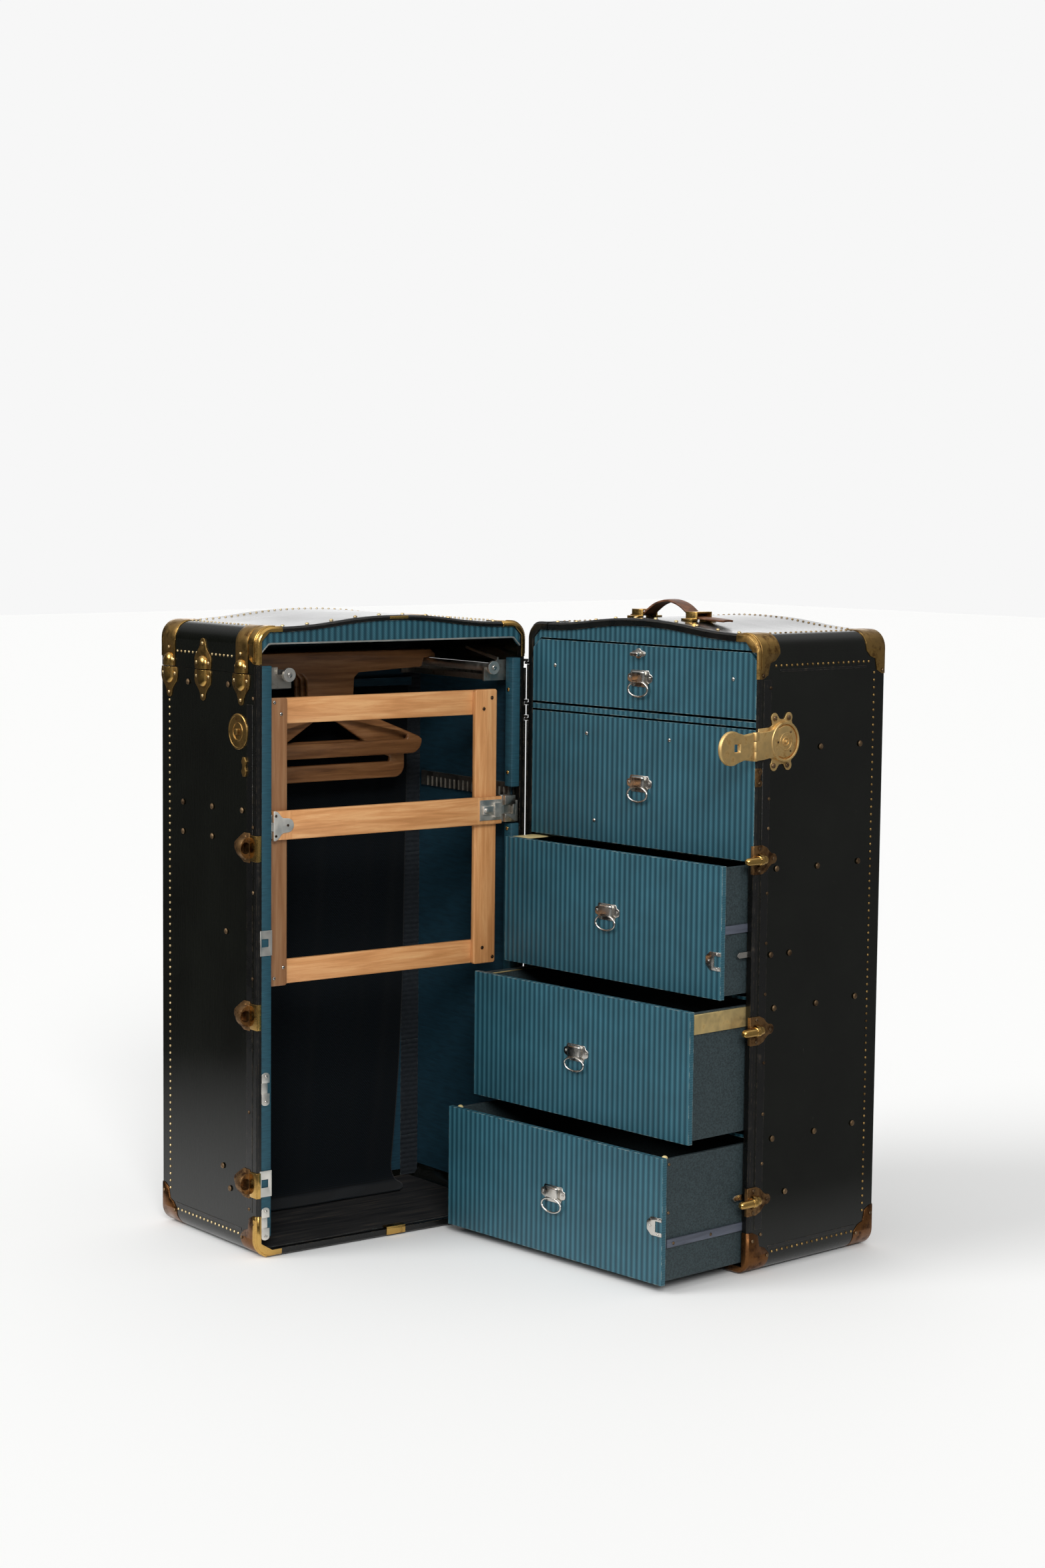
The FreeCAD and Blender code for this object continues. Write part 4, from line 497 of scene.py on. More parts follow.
def curtainCloth():
    # dark twill: matt with a soft sheen, a diagonal line drawn coarse enough to be seen
    finish, tree, shader = startFinish("twill curtain cloth", {"Roughness": 0.95,
                                       "Specular IOR Level": 0.15, "Sheen Weight": 0.05,
                                       "Sheen Roughness": 0.5})
    local = halfCoordinates(tree, "hanger")
    twill = wave(tree, turnedBy(tree, local, cloth["slant"]), cloth["twill"], "X", bend=0.8)
    both = worked(tree, "MULTIPLY", twill, wave(tree, local, cloth["twill"] * 0.8, "Z"))
    dress(tree, shader, ramp(tree, both, cloth["stops"]), None,
          bumped(tree, both, deep=0.3, strength=0.5))
    return finish



bpy.context.scene.view_settings.view_transform = "Standard"
addCamera()
addLight()
addFloor()
print("camera, light and floor")

finishes = {
    "fibreD": vulcanisedFibre("drawers"), "fibreH": vulcanisedFibre("hanger"),
    "binding": blackBinding(), "ribbedD": ribbedPaper("drawers"),
    "ribbedH": ribbedPaper("hanger"), "lining": wovenPaper("lining", "hanger"),
    "linen": wovenPaper("linen", "drawers"), "batten": wovenPaper("batten", "hanger"),
    "darkPaper": wovenPaper("inside", "hanger"), "gate": varnishedWood("gate", "hanger", "gate"),
    "hanger": varnishedWood("hanger", "hanger", "x"),
    "runner": varnishedWood("runner", "drawers", "y"),
    "rail": varnishedWood("rail", "drawers", "y"), "leather": strapLeather(),
    "thread": waxedThread(), "cloth": curtainCloth(),
    "corner": wornMetal("brassAged", rustyFoot="drawers"),
    "cornerH": wornMetal("brass", rustyFoot="hanger")}
for key in metals:
    finishes[key] = wornMetal(key)
print("finishes made")

# the carried-over solids by their finish
nodeFinish = {
    "fibreD": "drawer_half_shell",
    "binding": "drawer_half_edge_bead hinge_leaves_drawer_side hinge_leaves_hanger_side "
               "hanger_half_edge_bead lid_edge_bead",
    "ribbedD": "drawer_half_fascia drawer_half_dividers",
    "oldBrass": "drawer_half_corners drawer_half_dowel_plates lock_base hanger_half_corners "
                "dowel_sockets",
    "brass": "lock_hasp handle_loops lid_hinge_lower_leaves lid_corners",
    "leather": "handle_strap",
    "nickel": "nickel_prongs gate_bolt drawer_1_knob",
    "fibreH": "hanger_half_shell lid_shell",
    "batten": "hanger_half_battens",
    "lining": "hanger_half_lining",
    "cloth": "curtain",
    "dullNickel": "nickel_catch_plates trolley_brackets gate_racks gate_slide_blocks",
    "satin": "trolley_rods gate_fittings",
    "gate": "gate_frame",
    "ribbedH": "lid_fascia",
    "runner": "drawer_3_runners drawer_5_runners",
    "gilt": "drawer_4_rails",
    "hanger": "hanger_1 hanger_2 hanger_3"}
for number in range(1, 6):
    for finish, part in (("ribbedD", "front"), ("linen", "box"), ("nickel", "fittings"),
                         ("nickel", "ring")):
        nodeFinish[finish] = nodeFinish.get(finish, "") + f" drawer_{number}_{part}"
for finish, names in nodeFinish.items():
    for name in names.split():
        nodes[name].data.materials.clear()
        nodes[name].data.materials.append(finishes[finish])
print("carried-over solids finished")

# ---- tools for the added pieces

def clearPicks():
    bpy.ops.object.select_all(action="DESELECT")


def pick(piece):
    clearPicks()
    piece.select_set(True)
    bpy.context.view_layer.objects.active = piece


def editAll():
    bpy.ops.object.mode_set(mode="EDIT")
    bpy.ops.mesh.select_all(action="SELECT")


def faceOut():
    # turns all faces outwards and leaves edit mode
    bpy.ops.mesh.select_all(action="SELECT")
    bpy.ops.mesh.normals_make_consistent(inside=False)
    bpy.ops.object.mode_set(mode="OBJECT")


def smooth(angle):
    bpy.ops.object.shade_smooth_by_angle(angle=math.radians(angle))


def grid(across, up):
    # a flat grid from -1 to 1, to be bent by moving its points
    clearPicks()
    bpy.ops.mesh.primitive_grid_add(x_subdivisions=across, y_subdivisions=up, size=2)
    return bpy.context.object


def ball(segments, rings, radius=1):
    clearPicks()
    bpy.ops.mesh.primitive_uv_sphere_add(segments=segments, ring_count=rings, radius=radius)
    return bpy.context.object


def dome(radius, height, segments=8):
    ball(segments, 6, radius * mm)
    bpy.ops.object.mode_set(mode="EDIT")
    bpy.ops.mesh.bisect(plane_co=(0, 0, -0.1 * mm), plane_no=(0, 0, 1), clear_inner=True,
                        use_fill=True)
    bpy.ops.mesh.select_all(action="SELECT")
    bpy.ops.transform.resize(value=(1, 1, height / radius))
    bpy.ops.object.mode_set(mode="OBJECT")
    bpy.ops.object.shade_smooth()
    return bpy.context.object


def repeat(master, spots):
    # one copy of the master for each placing matrix, joined into one piece
    copies = []
    for spot in spots:
        copy = master.copy()
        copy.data = master.data.copy()
        copy.data.transform(spot)
        bpy.context.scene.collection.objects.link(copy)
        copies.append(copy)
    bpy.data.meshes.remove(master.data)
    return joined(copies)


def halfOf(body):
    return "hanger" if body in ("hanger_half", "lid", "gate", "trolley") else "drawers"


def settle(piece, name, body, finish, placed=False):
    # joins a list of parts, writes the place into the mesh, dresses and hangs it on its body
    if isinstance(piece, list):
        piece = joined(piece)
    piece.name = name
    place = Matrix.Identity(4) if placed else halfPlace(halfOf(body))
    bpy.context.view_layer.update()
    piece.data.transform(place @ piece.matrix_world)
    piece.matrix_world = Matrix.Identity(4)
    piece.data.materials.clear()
    piece.data.materials.append(finishes[finish])
    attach(piece, body)
    return piece


def finishWith(piece, kind, **values):
    # adds one modifier and applies it
    pick(piece)
    added = piece.modifiers.new("work", kind)
    for name, value in values.items():
        setattr(added, name, value)
    bpy.ops.object.modifier_apply(modifier=added.name)


def bevel(piece, width, segments, angle):
    finishWith(piece, "BEVEL", width=width * mm, segments=segments, limit_method="ANGLE",
               angle_limit=math.radians(angle))


def joined(pieces):
    clearPicks()
    for piece in pieces:
        piece.select_set(True)
    bpy.context.view_layer.objects.active = pieces[0]
    bpy.ops.object.join()
    return pieces[0]


def skinOf(names):
    corners, faces = [], []
    for name in names:
        mesh = nodes[name].data
        start = len(corners)
        corners += [v.co.copy() for v in mesh.vertices]
        faces += [[start + i for i in p.vertices] for p in mesh.polygons]
    return BVHTree.FromPolygons(corners, faces)


def landed(skins, half, spots, aim):
    # drops each spot onto the body's surface; a spot under a fitting is left out
    place = halfPlace(half)
    way = (place.to_3x3() @ Vector(aim)).normalized()
    ground, fittings = skins
    found = []
    for spot in spots:
        start = place @ (Vector(spot) * mm)
        point, normal, _, far = ground.ray_cast(start, way, nailing["seek"] * mm)
        if point is None:
            continue
        if fittings and fittings.ray_cast(start, way, far)[0] is not None:
            continue
        if normal.dot(way) > 0:
            normal = -normal
        turn = normal.to_track_quat("Z", "Y").to_matrix().to_4x4()
        found.append(Matrix.Translation(point) @ turn)
    return found


def steps(low, high, pitch):
    count = max(1, round((high - low) / pitch))
    return [low + (high - low) * i / count for i in range(count + 1)]


# ---- nails and rivets

nailing = {"pitch": 12, "size": (2.2, 1.5), "out": 60, "topRow": 953, "footRow": 31,
           "backRow": 270, "edge": 232, "deep": (44, 256), "topDeep": (40, 256), "low": 62,
           "ceiling": {"drawers": 935, "hanger": 872}, "back": (-206, 206),
           "crown": (-214, 214), "studs": (-205, 205, 45), "seek": 120}
rivetSizes = {"small": (2.9, 1.7), "large": (5.0, 2.2), "stud": (3.4, 2.6)}

sideRivets = {
    "drawers": {"small": [(29, z) for z in (919, 748, 702, 601, 523, 443, 335, 254, 175.5, 62.5)],
              "large": [(146, 823), (239, 823), (144, 635), (240, 635), (49.5, 638),
                        (39.6, 504), (82.5, 503), (147, 416), (240, 417), (49.6, 419),
                        (240, 210), (149, 210), (51, 212), (83, 123)]},
    "hanger": {"small": [(12, 890), (12, 688), (11.5, 585), (13, 448), (23, 233), (23, 76.5)],
              "large": [(210, 905), (86, 908), (226, 709), (135, 710), (44, 712), (226, 661),
                        (135, 662), (92, 514), (102, 132), (80, 99)]}}


def rowsOf(part):
    # (spots, aim) for every nail row; the lid takes what lies above its seam
    out, pitch, edge = nailing["out"], nailing["pitch"], nailing["edge"]
    wall, behind, above = 260 + out, 298 + out, 1000 + out
    deep, back = steps(*nailing["deep"], pitch), steps(*nailing["back"], pitch)
    rows = []
    if part != "lid":
        rise = steps(nailing["low"], nailing["ceiling"][part], pitch)
    for side in (-1, 1):
        x, aim = side * wall, (-side, 0, 0)
        if part != "hanger":
            rows.append(([(x, y, nailing["topRow"]) for y in steps(*nailing["topDeep"], pitch)],
                         aim))
        if part != "lid":
            rows.append(([(x, nailing["backRow"], z) for z in rise], aim))
            rows.append(([(x, y, nailing["footRow"]) for y in deep], aim))
    if part != "lid":
        for side in (-1, 1):
            rows.append(([(side * edge, behind, z) for z in rise], (0, -1, 0)))
        rows.append(([(x, behind, nailing["footRow"]) for x in back], (0, -1, 0)))
    if part != "hanger":
        rows.append(([(x, behind, nailing["topRow"]) for x in back], (0, -1, 0)))
        rows.append(([(x, nailing["backRow"], above) for x in steps(*nailing["crown"], pitch)],
                     (0, 0, -1)))
        for side in (-1, 1):
            rows.append(([(side * edge, y, above) for y in deep], (0, 0, -1)))
    return rows


def nailUp(part, body, ground, fittings):
    half, skins = halfOf(body), (skinOf([ground]), skinOf(fittings))
    spots = []
    for row, aim in rowsOf(part):
        spots += landed(skins, half, row, aim)
    settle(repeat(dome(*nailing["size"]), spots), f"{part}_nails", body,
           "nailAged" if part == "drawers" else "nail", placed=True)
    out = 260 + nailing["out"]
    for kind in ("small", "large") if part != "lid" else ():
        spots = []
        for side in (1, -1):
            row = [(side * out, y, z) for y, z in sideRivets[part][kind]]
            spots += landed(skins, half, row, (-side, 0, 0))
        if kind == "large":
            back = [(x, 298 + nailing["out"], z) for x in (-150, 0, 150)
                    for z in (210, 417, 635, 823)]
            spots += landed(skins, half, back, (0, -1, 0))
        settle(repeat(dome(*rivetSizes[kind], 12), spots), f"{part}_{kind}_rivets", body,
               "rivet", placed=True)
    if part != "hanger":
        row = [(x, 15, 1000 + nailing["out"]) for x in steps(*nailing["studs"])]
        spots = landed(skins, half, row, (0, 0, -1))
        settle(repeat(dome(*rivetSizes["stud"], 10), spots), f"{part}_front_studs", body,
               "nail", placed=True)


nailUp("drawers", "drawer_half", "drawer_half_shell",
       ["drawer_half_corners", "drawer_half_dowel_plates", "lock_base", "handle_loops",
        "hinge_leaves_drawer_side", "handle_strap"])
nailUp("hanger", "hanger_half", "hanger_half_shell",
       ["hanger_half_corners", "dowel_sockets", "lid_hinge_lower_leaves",
        "hinge_leaves_hanger_side"])
nailUp("lid", "lid", "lid_shell", ["lid_corners"])
print("nails and rivets")

# ---- softened copies of the hard fittings: the same shapes with their edges broken

softened = {
    "drawer_half_corners": (0.5, 1, "corner"), "hanger_half_corners": (0.5, 1, "cornerH"),
    "lid_corners": (0.5, 1, "brass"),
    "handle_loops": (0.7, 2, "brass"), "gate_frame": (1.6, 2, "gate"),
    "hanger_1": (2.4, 3, "hanger"), "hanger_2": (2.4, 3, "hanger"),
    "hanger_3": (2.4, 3, "hanger"), "nickel_catch_plates": (0.35, 1, "satin"),
    "gate_slide_blocks": (0.8, 2, "dullNickel"), "gate_bolt": (0.8, 2, "satin"),
    "hanger_half_battens": (1.4, 2, "batten")}


def isLidLeaf(low, high):
    # the plain hinge leaves of the lid's corner plates: the loaf hinges take their place
    return high[0] < -258 and high[1] - low[1] < 42


def isTabPlate(low, high):
    return high[0] - low[0] < 12


def isBlackCorner(low, high):
    return high[0] < -210 and high[1] < 50 and low[2] > 900


# which loose parts leave a softened piece, with the half they are measured in
setAside = {"lid_corners": ("hanger", isLidLeaf), "nickel_catch_plates": ("hanger", isTabPlate),
            "drawer_half_corners": ("drawers", isBlackCorner)}


def withoutSome(piece, name):
    half, unwanted = setAside[name]
    pick(piece)
    bpy.ops.mesh.separate(type="LOOSE")
    back = halfPlace(half).inverted()
    kept, aside = [], []
    for part in list(bpy.context.selected_objects):
        spots = [back @ v.co / mm for v in part.data.vertices]
        low = [min(p[axis] for p in spots) for axis in range(3)]
        high = [max(p[axis] for p in spots) for axis in range(3)]
        (aside if unwanted(low, high) else kept).append(part)
    if name == "drawer_half_corners":
        corner = joined(aside)
        smooth(35)
        settle(corner, "drawers_black_corner", "drawer_half", "binding",
               placed=True)
    else:
        for part in aside:
            bpy.data.objects.remove(part)
    return joined(kept)


def soften(name, width, segments, finish):
    source = nodes[name]
    piece = source.copy()
    piece.data = source.data.copy()
    piece.parent = None
    for key in list(piece.keys()):
        del piece[key]
    bpy.context.scene.collection.objects.link(piece)
    pick(piece)
    editAll()
    bpy.ops.mesh.remove_doubles(threshold=0.01 * mm)
    bpy.ops.mesh.dissolve_limited(angle_limit=math.radians(1))
    bpy.ops.object.mode_set(mode="OBJECT")
    if name in setAside:
        piece = withoutSome(piece, name)
    bevel(piece, width, segments, 40)
    smooth(35)
    body = source["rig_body"]
    settle(piece, f"{name}_soft", body, finish, placed=True)
    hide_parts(name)


for name, (width, segments, finish) in softened.items():
    soften(name, width, segments, finish)
print("fittings with broken edges")

# ---- leather handle

handle = {"middle": 75, "half": 14, "thick": 4.6, "crown": 1016, "drop": 15, "edge": 232,
          "line": [(-85, None), (-74, None), (-62, None), (-52, 1021), (-44, 1026.5),
                   (-30, 1035.5), (-15, 1041), (0, 1043.2), (15, 1041), (30, 1035.5),
                   (44, 1026.5), (52, 1021), (62, None), (76, None), (92, None), (108, None),
                   (125, None)], "stitch": 5.2, "steps": 64, "arch": 0.9, "inset": 3,
          "thread": (1.7, 0.5, 0.45)}


def strapLine(count):
    # the strap's middle line as a smooth curve through its stations, sampled evenly
    stations = []
    for x, z in handle["line"]:
        rest = handle["crown"] - handle["drop"] * (x / handle["edge"]) ** 2 + 2.9
        stations.append(Vector((x, handle["middle"], rest if z is None else z)))
    points = []
    for i in range(len(stations) - 1):
        a = stations[max(i - 1, 0)]
        b, c = stations[i], stations[i + 1]
        d = stations[min(i + 2, len(stations) - 1)]
        for j in range(6):
            t = j / 6
            points.append(0.5 * ((2 * b) + (c - a) * t + (2 * a - 5 * b + 4 * c - d) * t * t
                          + (3 * b - a - 3 * c + d) * t ** 3))
    points.append(stations[-1])
    lengths = [0]
    for a, b in zip(points, points[1:]):
        lengths.append(lengths[-1] + (b - a).length)
    line, k = [], 0
    for i in range(count + 1):
        goal = lengths[-1] * i / count
        while k < len(points) - 2 and lengths[k + 1] < goal:
            k += 1
        span = lengths[k + 1] - lengths[k]
        line.append(points[k].lerp(points[k + 1], (goal - lengths[k]) / span))
    return line, lengths[-1]


def makeHandle():
    last, middle, thick = handle["steps"], handle["middle"], handle["thick"]
    line, long = strapLine(last)
    piece = grid(last, 8)
    for v in piece.data.vertices:
        step = round((v.co.x + 1) * last / 2)
        along = line[min(step + 1, last)] - line[max(step - 1, 0)]
        normal = Vector((-along.z, 0, along.x)).normalized()
        taper = min(1.0, 0.72 + 0.28 * min(step, last - step) / 3)
        spot = line[step] + normal * (handle["arch"] * (1 - v.co.y ** 4) - thick * 0.35)
        v.co = Vector((spot.x, middle + v.co.y * handle["half"] * taper, spot.z)) * mm
    finishWith(piece, "SOLIDIFY", thickness=thick * 0.72 * mm, offset=1)
    bevel(piece, 0.9, 3, 45)
    bpy.ops.object.shade_smooth()
    settle(piece, "handle_leather", "drawer_half", "leather")
    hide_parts("handle_strap")
    # two rows of waxed stitches along the edges
    thread = ball(6, 4)
    thread.data.transform(Matrix.Diagonal([size * mm for size in handle["thread"]] + [1]))
    spots, count = [], int(long / handle["stitch"])
    fine = strapLine(count)[0]
    for side in (-1, 1):
        for i in range(2, count - 1):
            along = (fine[i + 1] - fine[i - 1]).normalized()
            normal = Vector((-along.z, 0, along.x))
            spot = fine[i] + normal * (thick * 0.38 + 0.15)
            turn = Matrix((along, Vector((0, 1, 0)), normal)).transposed().to_4x4()
            spot.y = middle + side * (handle["half"] - handle["inset"])
            spots.append(Matrix.Translation(spot * mm) @ turn)
    settle(repeat(thread, spots), "handle_stitches", "drawer_half", "thread")


makeHandle()
print("handle")

# ---- the cloth curtain in the hanger half

curtain = {"left": -205, "top": 879, "rightTop": 219, "rightMid": 212, "rightFoot": 184,
           "face": 280.2, "floor": 15.4, "hem": 194, "bend": 26, "fold": 3.4,
           "waist": 370, "hemTaper": 34}


def curtainRight(t, fall, turn, run):
    # the right edge tapers from the top, faster below the waist and at the hem
    top, middle, foot = (curtain[key] for key in ("rightTop", "rightMid", "rightFoot"))
    waist = curtain["waist"]
    if t < waist:
        right = top + (middle - top) * t / waist
    else:
        right = middle + (foot - middle) * min(1, (t - waist) / (fall + turn - waist)) ** 2.2
    return right - curtain["hemTaper"] * (max(0, t - fall - turn) / run) ** 2


def makeCurtain():
    face, bend, ground, left = (curtain[key] for key in ("face", "bend", "floor", "left"))
    fall, turn = curtain["top"] - ground - bend, bend * math.pi / 2
    run = face - bend - curtain["hem"]
    total = fall + turn + run
    piece = grid(72, 96)
    for v in piece.data.vertices:
        s, t = (v.co.x + 1) / 2, (1 - v.co.y) / 2 * total
        z = curtain["top"] - t
        if t < fall:
            y, fade = face, 1 - 0.5 * (t / fall) ** 3
        elif t < fall + turn:
            angle = (t - fall) / bend
            y, z = face - bend * (1 - math.cos(angle)), ground + bend * (1 - math.sin(angle))
            fade = 0.5 * math.cos(angle)
        else:
            y, z, fade = face - bend - (t - fall - turn), ground, 0
        x = left + s * (curtainRight(t, fall, turn, run) - left)
        swell = (math.sin(s * 13 + 0.4) + 0.55 * math.sin(s * 31 + t * 0.004)
                 + 0.3 * math.sin(s * 57 + 2 + t * 0.006))
        depth = min(0.55 + t / 900, 1) * curtain["fold"] * (swell - 1.4) * fade
        lift = max(0, 0.9 * math.sin(s * 17 + t * 0.03)) * (1 - fade) if t > fall + turn else 0
        v.co = Vector((x, y + depth, z + lift)) * mm
    finishWith(piece, "SUBSURF", levels=1, render_levels=1)
    finishWith(piece, "SOLIDIFY", thickness=1.0 * mm, offset=0)
    bpy.ops.object.shade_smooth()
    settle(piece, "curtain_cloth", "hanger_half", "cloth")
    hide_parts("curtain")


makeCurtain()
print("curtain")

# ---- plates cut from an outline

def arc(a, b, radius, start, end, count=8):
    turns = [math.radians(start + (end - start) * i / count) for i in range(count + 1)]
    return [(a + radius * math.cos(t), b + radius * math.sin(t)) for t in turns]


hair = 0.05      # keeps a plate's back from lying in one plane with its wall
facings = {"+x": (0, 1), "-x": (0, -1), "+y": (1, 1), "-y": (1, -1), "+z": (2, 1)}


def mirrored(outline, level):
    # an outline drawn downwards from its middle level, and its mirror image above
    return [(a, level + b) for a, b in outline], [(a, level - b) for a, b in reversed(outline)]


def outward(facing, far=1):
    # the way that a wall faces, as a vector of length far
    axis, sign = facings[facing]
    way = [0, 0, 0]
    way[axis] = sign * far
    return way


def turnTo(facing):
    return Vector(outward(facing)).to_track_quat("Z", "Y").to_matrix().to_4x4()


def plate(outline, thick, facing, at, round=0.5, segments=2):
    # a flat plate from its outline, thickened away from the wall that it lies on
    clearPicks()
    bpy.ops.mesh.primitive_circle_add(vertices=len(outline), radius=1, fill_type="NGON")
    piece = bpy.context.object
    for v, (a, b) in zip(piece.data.vertices, outline):
        spot = [a, b]
        spot.insert(facings[facing][0], at)
        v.co = Vector(spot) * mm
    editAll()
    bpy.ops.mesh.extrude_region_move(
        TRANSFORM_OT_translate={"value": outward(facing, thick * mm)})
    faceOut()
    if round:
        bevel(piece, round, segments, 35)
    smooth(40)
    return piece


def turned(profile, spot, facing, segments=32):
    # a round part spun from its profile of (radius, height) steps above the wall
    clearPicks()
    bpy.ops.mesh.primitive_circle_add(vertices=segments, radius=profile[0][0] * mm)
    piece = bpy.context.object
    editAll()
    bpy.ops.transform.translate(value=(0, 0, profile[0][1] * mm))
    for (r0, h0), (r1, h1) in zip(profile, profile[1:]):
        bpy.ops.mesh.extrude_region_move(TRANSFORM_OT_translate={"value": (0, 0, (h1 - h0) * mm)})
        if r1 <= 0:
            bpy.ops.mesh.merge(type="CENTER")
            break
        bpy.ops.transform.resize(value=(r1 / r0, r1 / r0, 1))
    else:
        bpy.ops.mesh.fill()
    faceOut()
    smooth(45)
    piece.data.transform(Matrix.Translation(Vector(spot) * mm) @ turnTo(facing))
    return piece


def block(low, high):
    clearPicks()
    bpy.ops.mesh.primitive_cube_add(size=1, location=(Vector(low) + Vector(high)) / 2 * mm)
    piece = bpy.context.object
    piece.scale = (Vector(high) - Vector(low)) * mm
    bpy.ops.object.transform_apply(location=True, rotation=True, scale=True)
    return piece


def cutAway(piece, tool):
    finishWith(piece, "BOOLEAN", operation="DIFFERENCE", object=tool, solver="EXACT")
    bpy.data.objects.remove(tool)


def cutOut(piece, low, high):
    # cuts a plain block out of a piece
    cutAway(piece, block(low, high))


def bar(low, high, round=0.6, segments=2):
    piece = block(low, high)
    bevel(piece, round, segments, 35)
    smooth(40)
    return piece


def screwHead(radius, height):
    # a domed head with its slot pressed in
    head = ball(14, 8, radius * mm)
    bpy.ops.object.mode_set(mode="EDIT")
    bpy.ops.mesh.bisect(plane_co=(0, 0, 0), plane_no=(0, 0, 1), clear_inner=True, use_fill=True)
    bpy.ops.mesh.select_all(action="SELECT")
    bpy.ops.transform.resize(value=(1, 1, height / radius))
    bpy.ops.object.mode_set(mode="OBJECT")
    cutOut(head, (-radius - 1, -radius * 0.13, height * 0.45),
           (radius + 1, radius * 0.13, height + 1))
    smooth(35)
    return head


def setAt(spots, facing, tilt=0):
    # placing matrices for heads that stand on a wall at (x, y, z) in mm
    return [Matrix.Translation(Vector(spot) * mm) @ turnTo(facing)
            @ Matrix.Rotation(math.radians(tilt + 47 * i), 4, "Z") for i, spot in enumerate(spots)]


def headsAt(radius, height, facing, spots, sides=None, tilt=0):
    # slotted screw heads, or plain domes with that many sides
    master = dome(radius, height, sides) if sides else screwHead(radius, height)
    return repeat(master, setAt(spots, facing, tilt))


def addHeads(name, body, slot, finish, *sizes, **choice):
    settle(headsAt(*sizes, **choice), name, body, finish)


# ---- drawer pulls, escutcheon and small plates on the drawer fronts

pull = {"places": {1: (5, 921), 2: (7, 752.5), 3: (-3, 549.5), 4: (-2.5, 330), 5: (6, 112)},
        "out": {1: 0, 2: 0, 3: 57.9, 4: 123.2, 5: 177.2}, "thick": 1.3, "screw": (22.6, 1.5),
        # half of the plate's outline, from its top
        "outline": [(19.5, 13.3), (21.2, 10.2), (22.4, 7.2), (26.2, 6.6), (27.8, 3.4),
                    (28, -0.4), (27, -4), (23.4, -6.4), (19.6, -7), (18.4, -12),
                    (16.6, -13.4)]}
drawerCatch = {"feet": {3: 486, 5: 90}, "edge": 247.2, "thick": 1.6,
               "outline": [(0, 0), (0, 29), (-22, 29), (-31, 21), (-31, 8), (-22, 0)],
               "pins": [(-7, 3), (-7, 26), (-24, 14.5)]}
escutcheon = {"level": 960.6, "thick": 1.4, "pins": (-11.8, 13.8),
              "arcs": [(1, 8.4, 35, 145), (-11.5, 3.6, 120, 240), (1, 8.4, 215, 325),
                       (13.5, 3.6, -60, 60)]}
frontRivets = {1: [(-193, 932), (209, 931)], 2: [(-116, 825), (73, 827), (-96, 684.5)]}


def makePull(number):
    middle, level = pull["places"][number]
    front, thick = -pull["out"][number], pull["thick"]
    across, up = pull["screw"]
    outline = pull["outline"] + [(-a, b) for a, b in reversed(pull["outline"])]
    parts = [plate([(middle + a, level + b) for a, b in outline], thick, "-y", front + hair,
                   0.45),
             # the bulged middle of the plate hides the bail's straight top
             bar((middle - 14, front - 7.7, level - 6.2),
                 (middle + 14, front - 0.4, level + 12.4), 3.4, 5),
             headsAt(2.2, 0.9, "-y", [(middle + side * across, front - thick, level + up)
                                      for side in (-1, 1)], tilt=20)]
    if number in frontRivets:
        parts.append(headsAt(3.3, 1.5, "-y", [(x, front, z) for x, z in frontRivets[number]],
                             sides=14))
    if number in drawerCatch["feet"]:      # at the lock side, notched for its hook
        foot, edge = drawerCatch["feet"][number], drawerCatch["edge"]
        hook = plate([(edge + a, foot + b) for a, b in drawerCatch["outline"]],
                     drawerCatch["thick"], "-y", front + hair, 0.3)
        cutOut(hook, (edge - 13, front - 4, foot + 6), (edge + 2, front + 2, foot + 23))
        parts += [hook, headsAt(1.8, 0.9, "-y", [(edge + a, front - 1.5, foot + b)
                                                 for a, b in drawerCatch["pins"]], sides=10)]
    if number == 1:           # escutcheon behind the turn knob
        height = escutcheon["level"]
        shape = []
        for a, radius, start, end in escutcheon["arcs"]:
            shape += arc(a, height, radius, start, end, 6)
        parts += [plate(shape, escutcheon["thick"], "-y", front + hair, 0.5),
                  headsAt(1.5, 0.8, "-y", [(x, front - 1.3, height)
                                           for x in escutcheon["pins"]], sides=8)]
    piece = settle(parts, f"drawer_{number}_pull", f"drawer_{number}", "nickel")
    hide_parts(f"drawer_{number}_fittings")


bail = {"half": 21.8, "drop": 21.6, "rise": 2.6, "wire": 1.75, "axis": 5.2, "foot": 7.5,
        "lower": {4: 2.5, 5: 1.5}}     # how far a bail's pivot lies below the others'


def makeBail(number):
    # the wire bail: a flattened loop whose straight top turns inside the plate
    middle, level = pull["places"][number]
    clearPicks()
    around, about = 44, 10
    bpy.ops.mesh.primitive_torus_add(major_segments=around, minor_segments=about,
                                     major_radius=1, minor_radius=0.1)
    piece = bpy.context.object
    low, high = -bail["drop"], bail["rise"] - bail["lower"].get(number, 0)
    for index, v in enumerate(piece.data.vertices):
        turn = 2 * math.pi * (index // about) / around
        spin = 2 * math.pi * (index % about) / about
        across = bail["half"] * math.cos(turn)
        up = (low + high) / 2 + (high - low) / 2 * math.sin(turn)
        out = Vector((math.cos(turn) / bail["half"], math.sin(turn) * 2 / (high - low)))
        out.normalize()
        reach = bail["wire"] * math.cos(spin)
        v.co = Vector((middle + across + out.x * reach,
                       -pull["out"][number] - bail["axis"] + bail["wire"] * math.sin(spin),
                       level - bail["foot"] + up + out.y * reach)) * mm
    editAll()
    faceOut()
    bpy.ops.object.shade_smooth()
    settle(piece, f"drawer_{number}_bail", f"ring_{number}", "nickel")
    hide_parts(f"drawer_{number}_ring")


for number in range(1, 6):
    makePull(number)
    makeBail(number)
print("drawer pulls and bails")

# ---- the brass lock: dished base with four ears, and the hasp

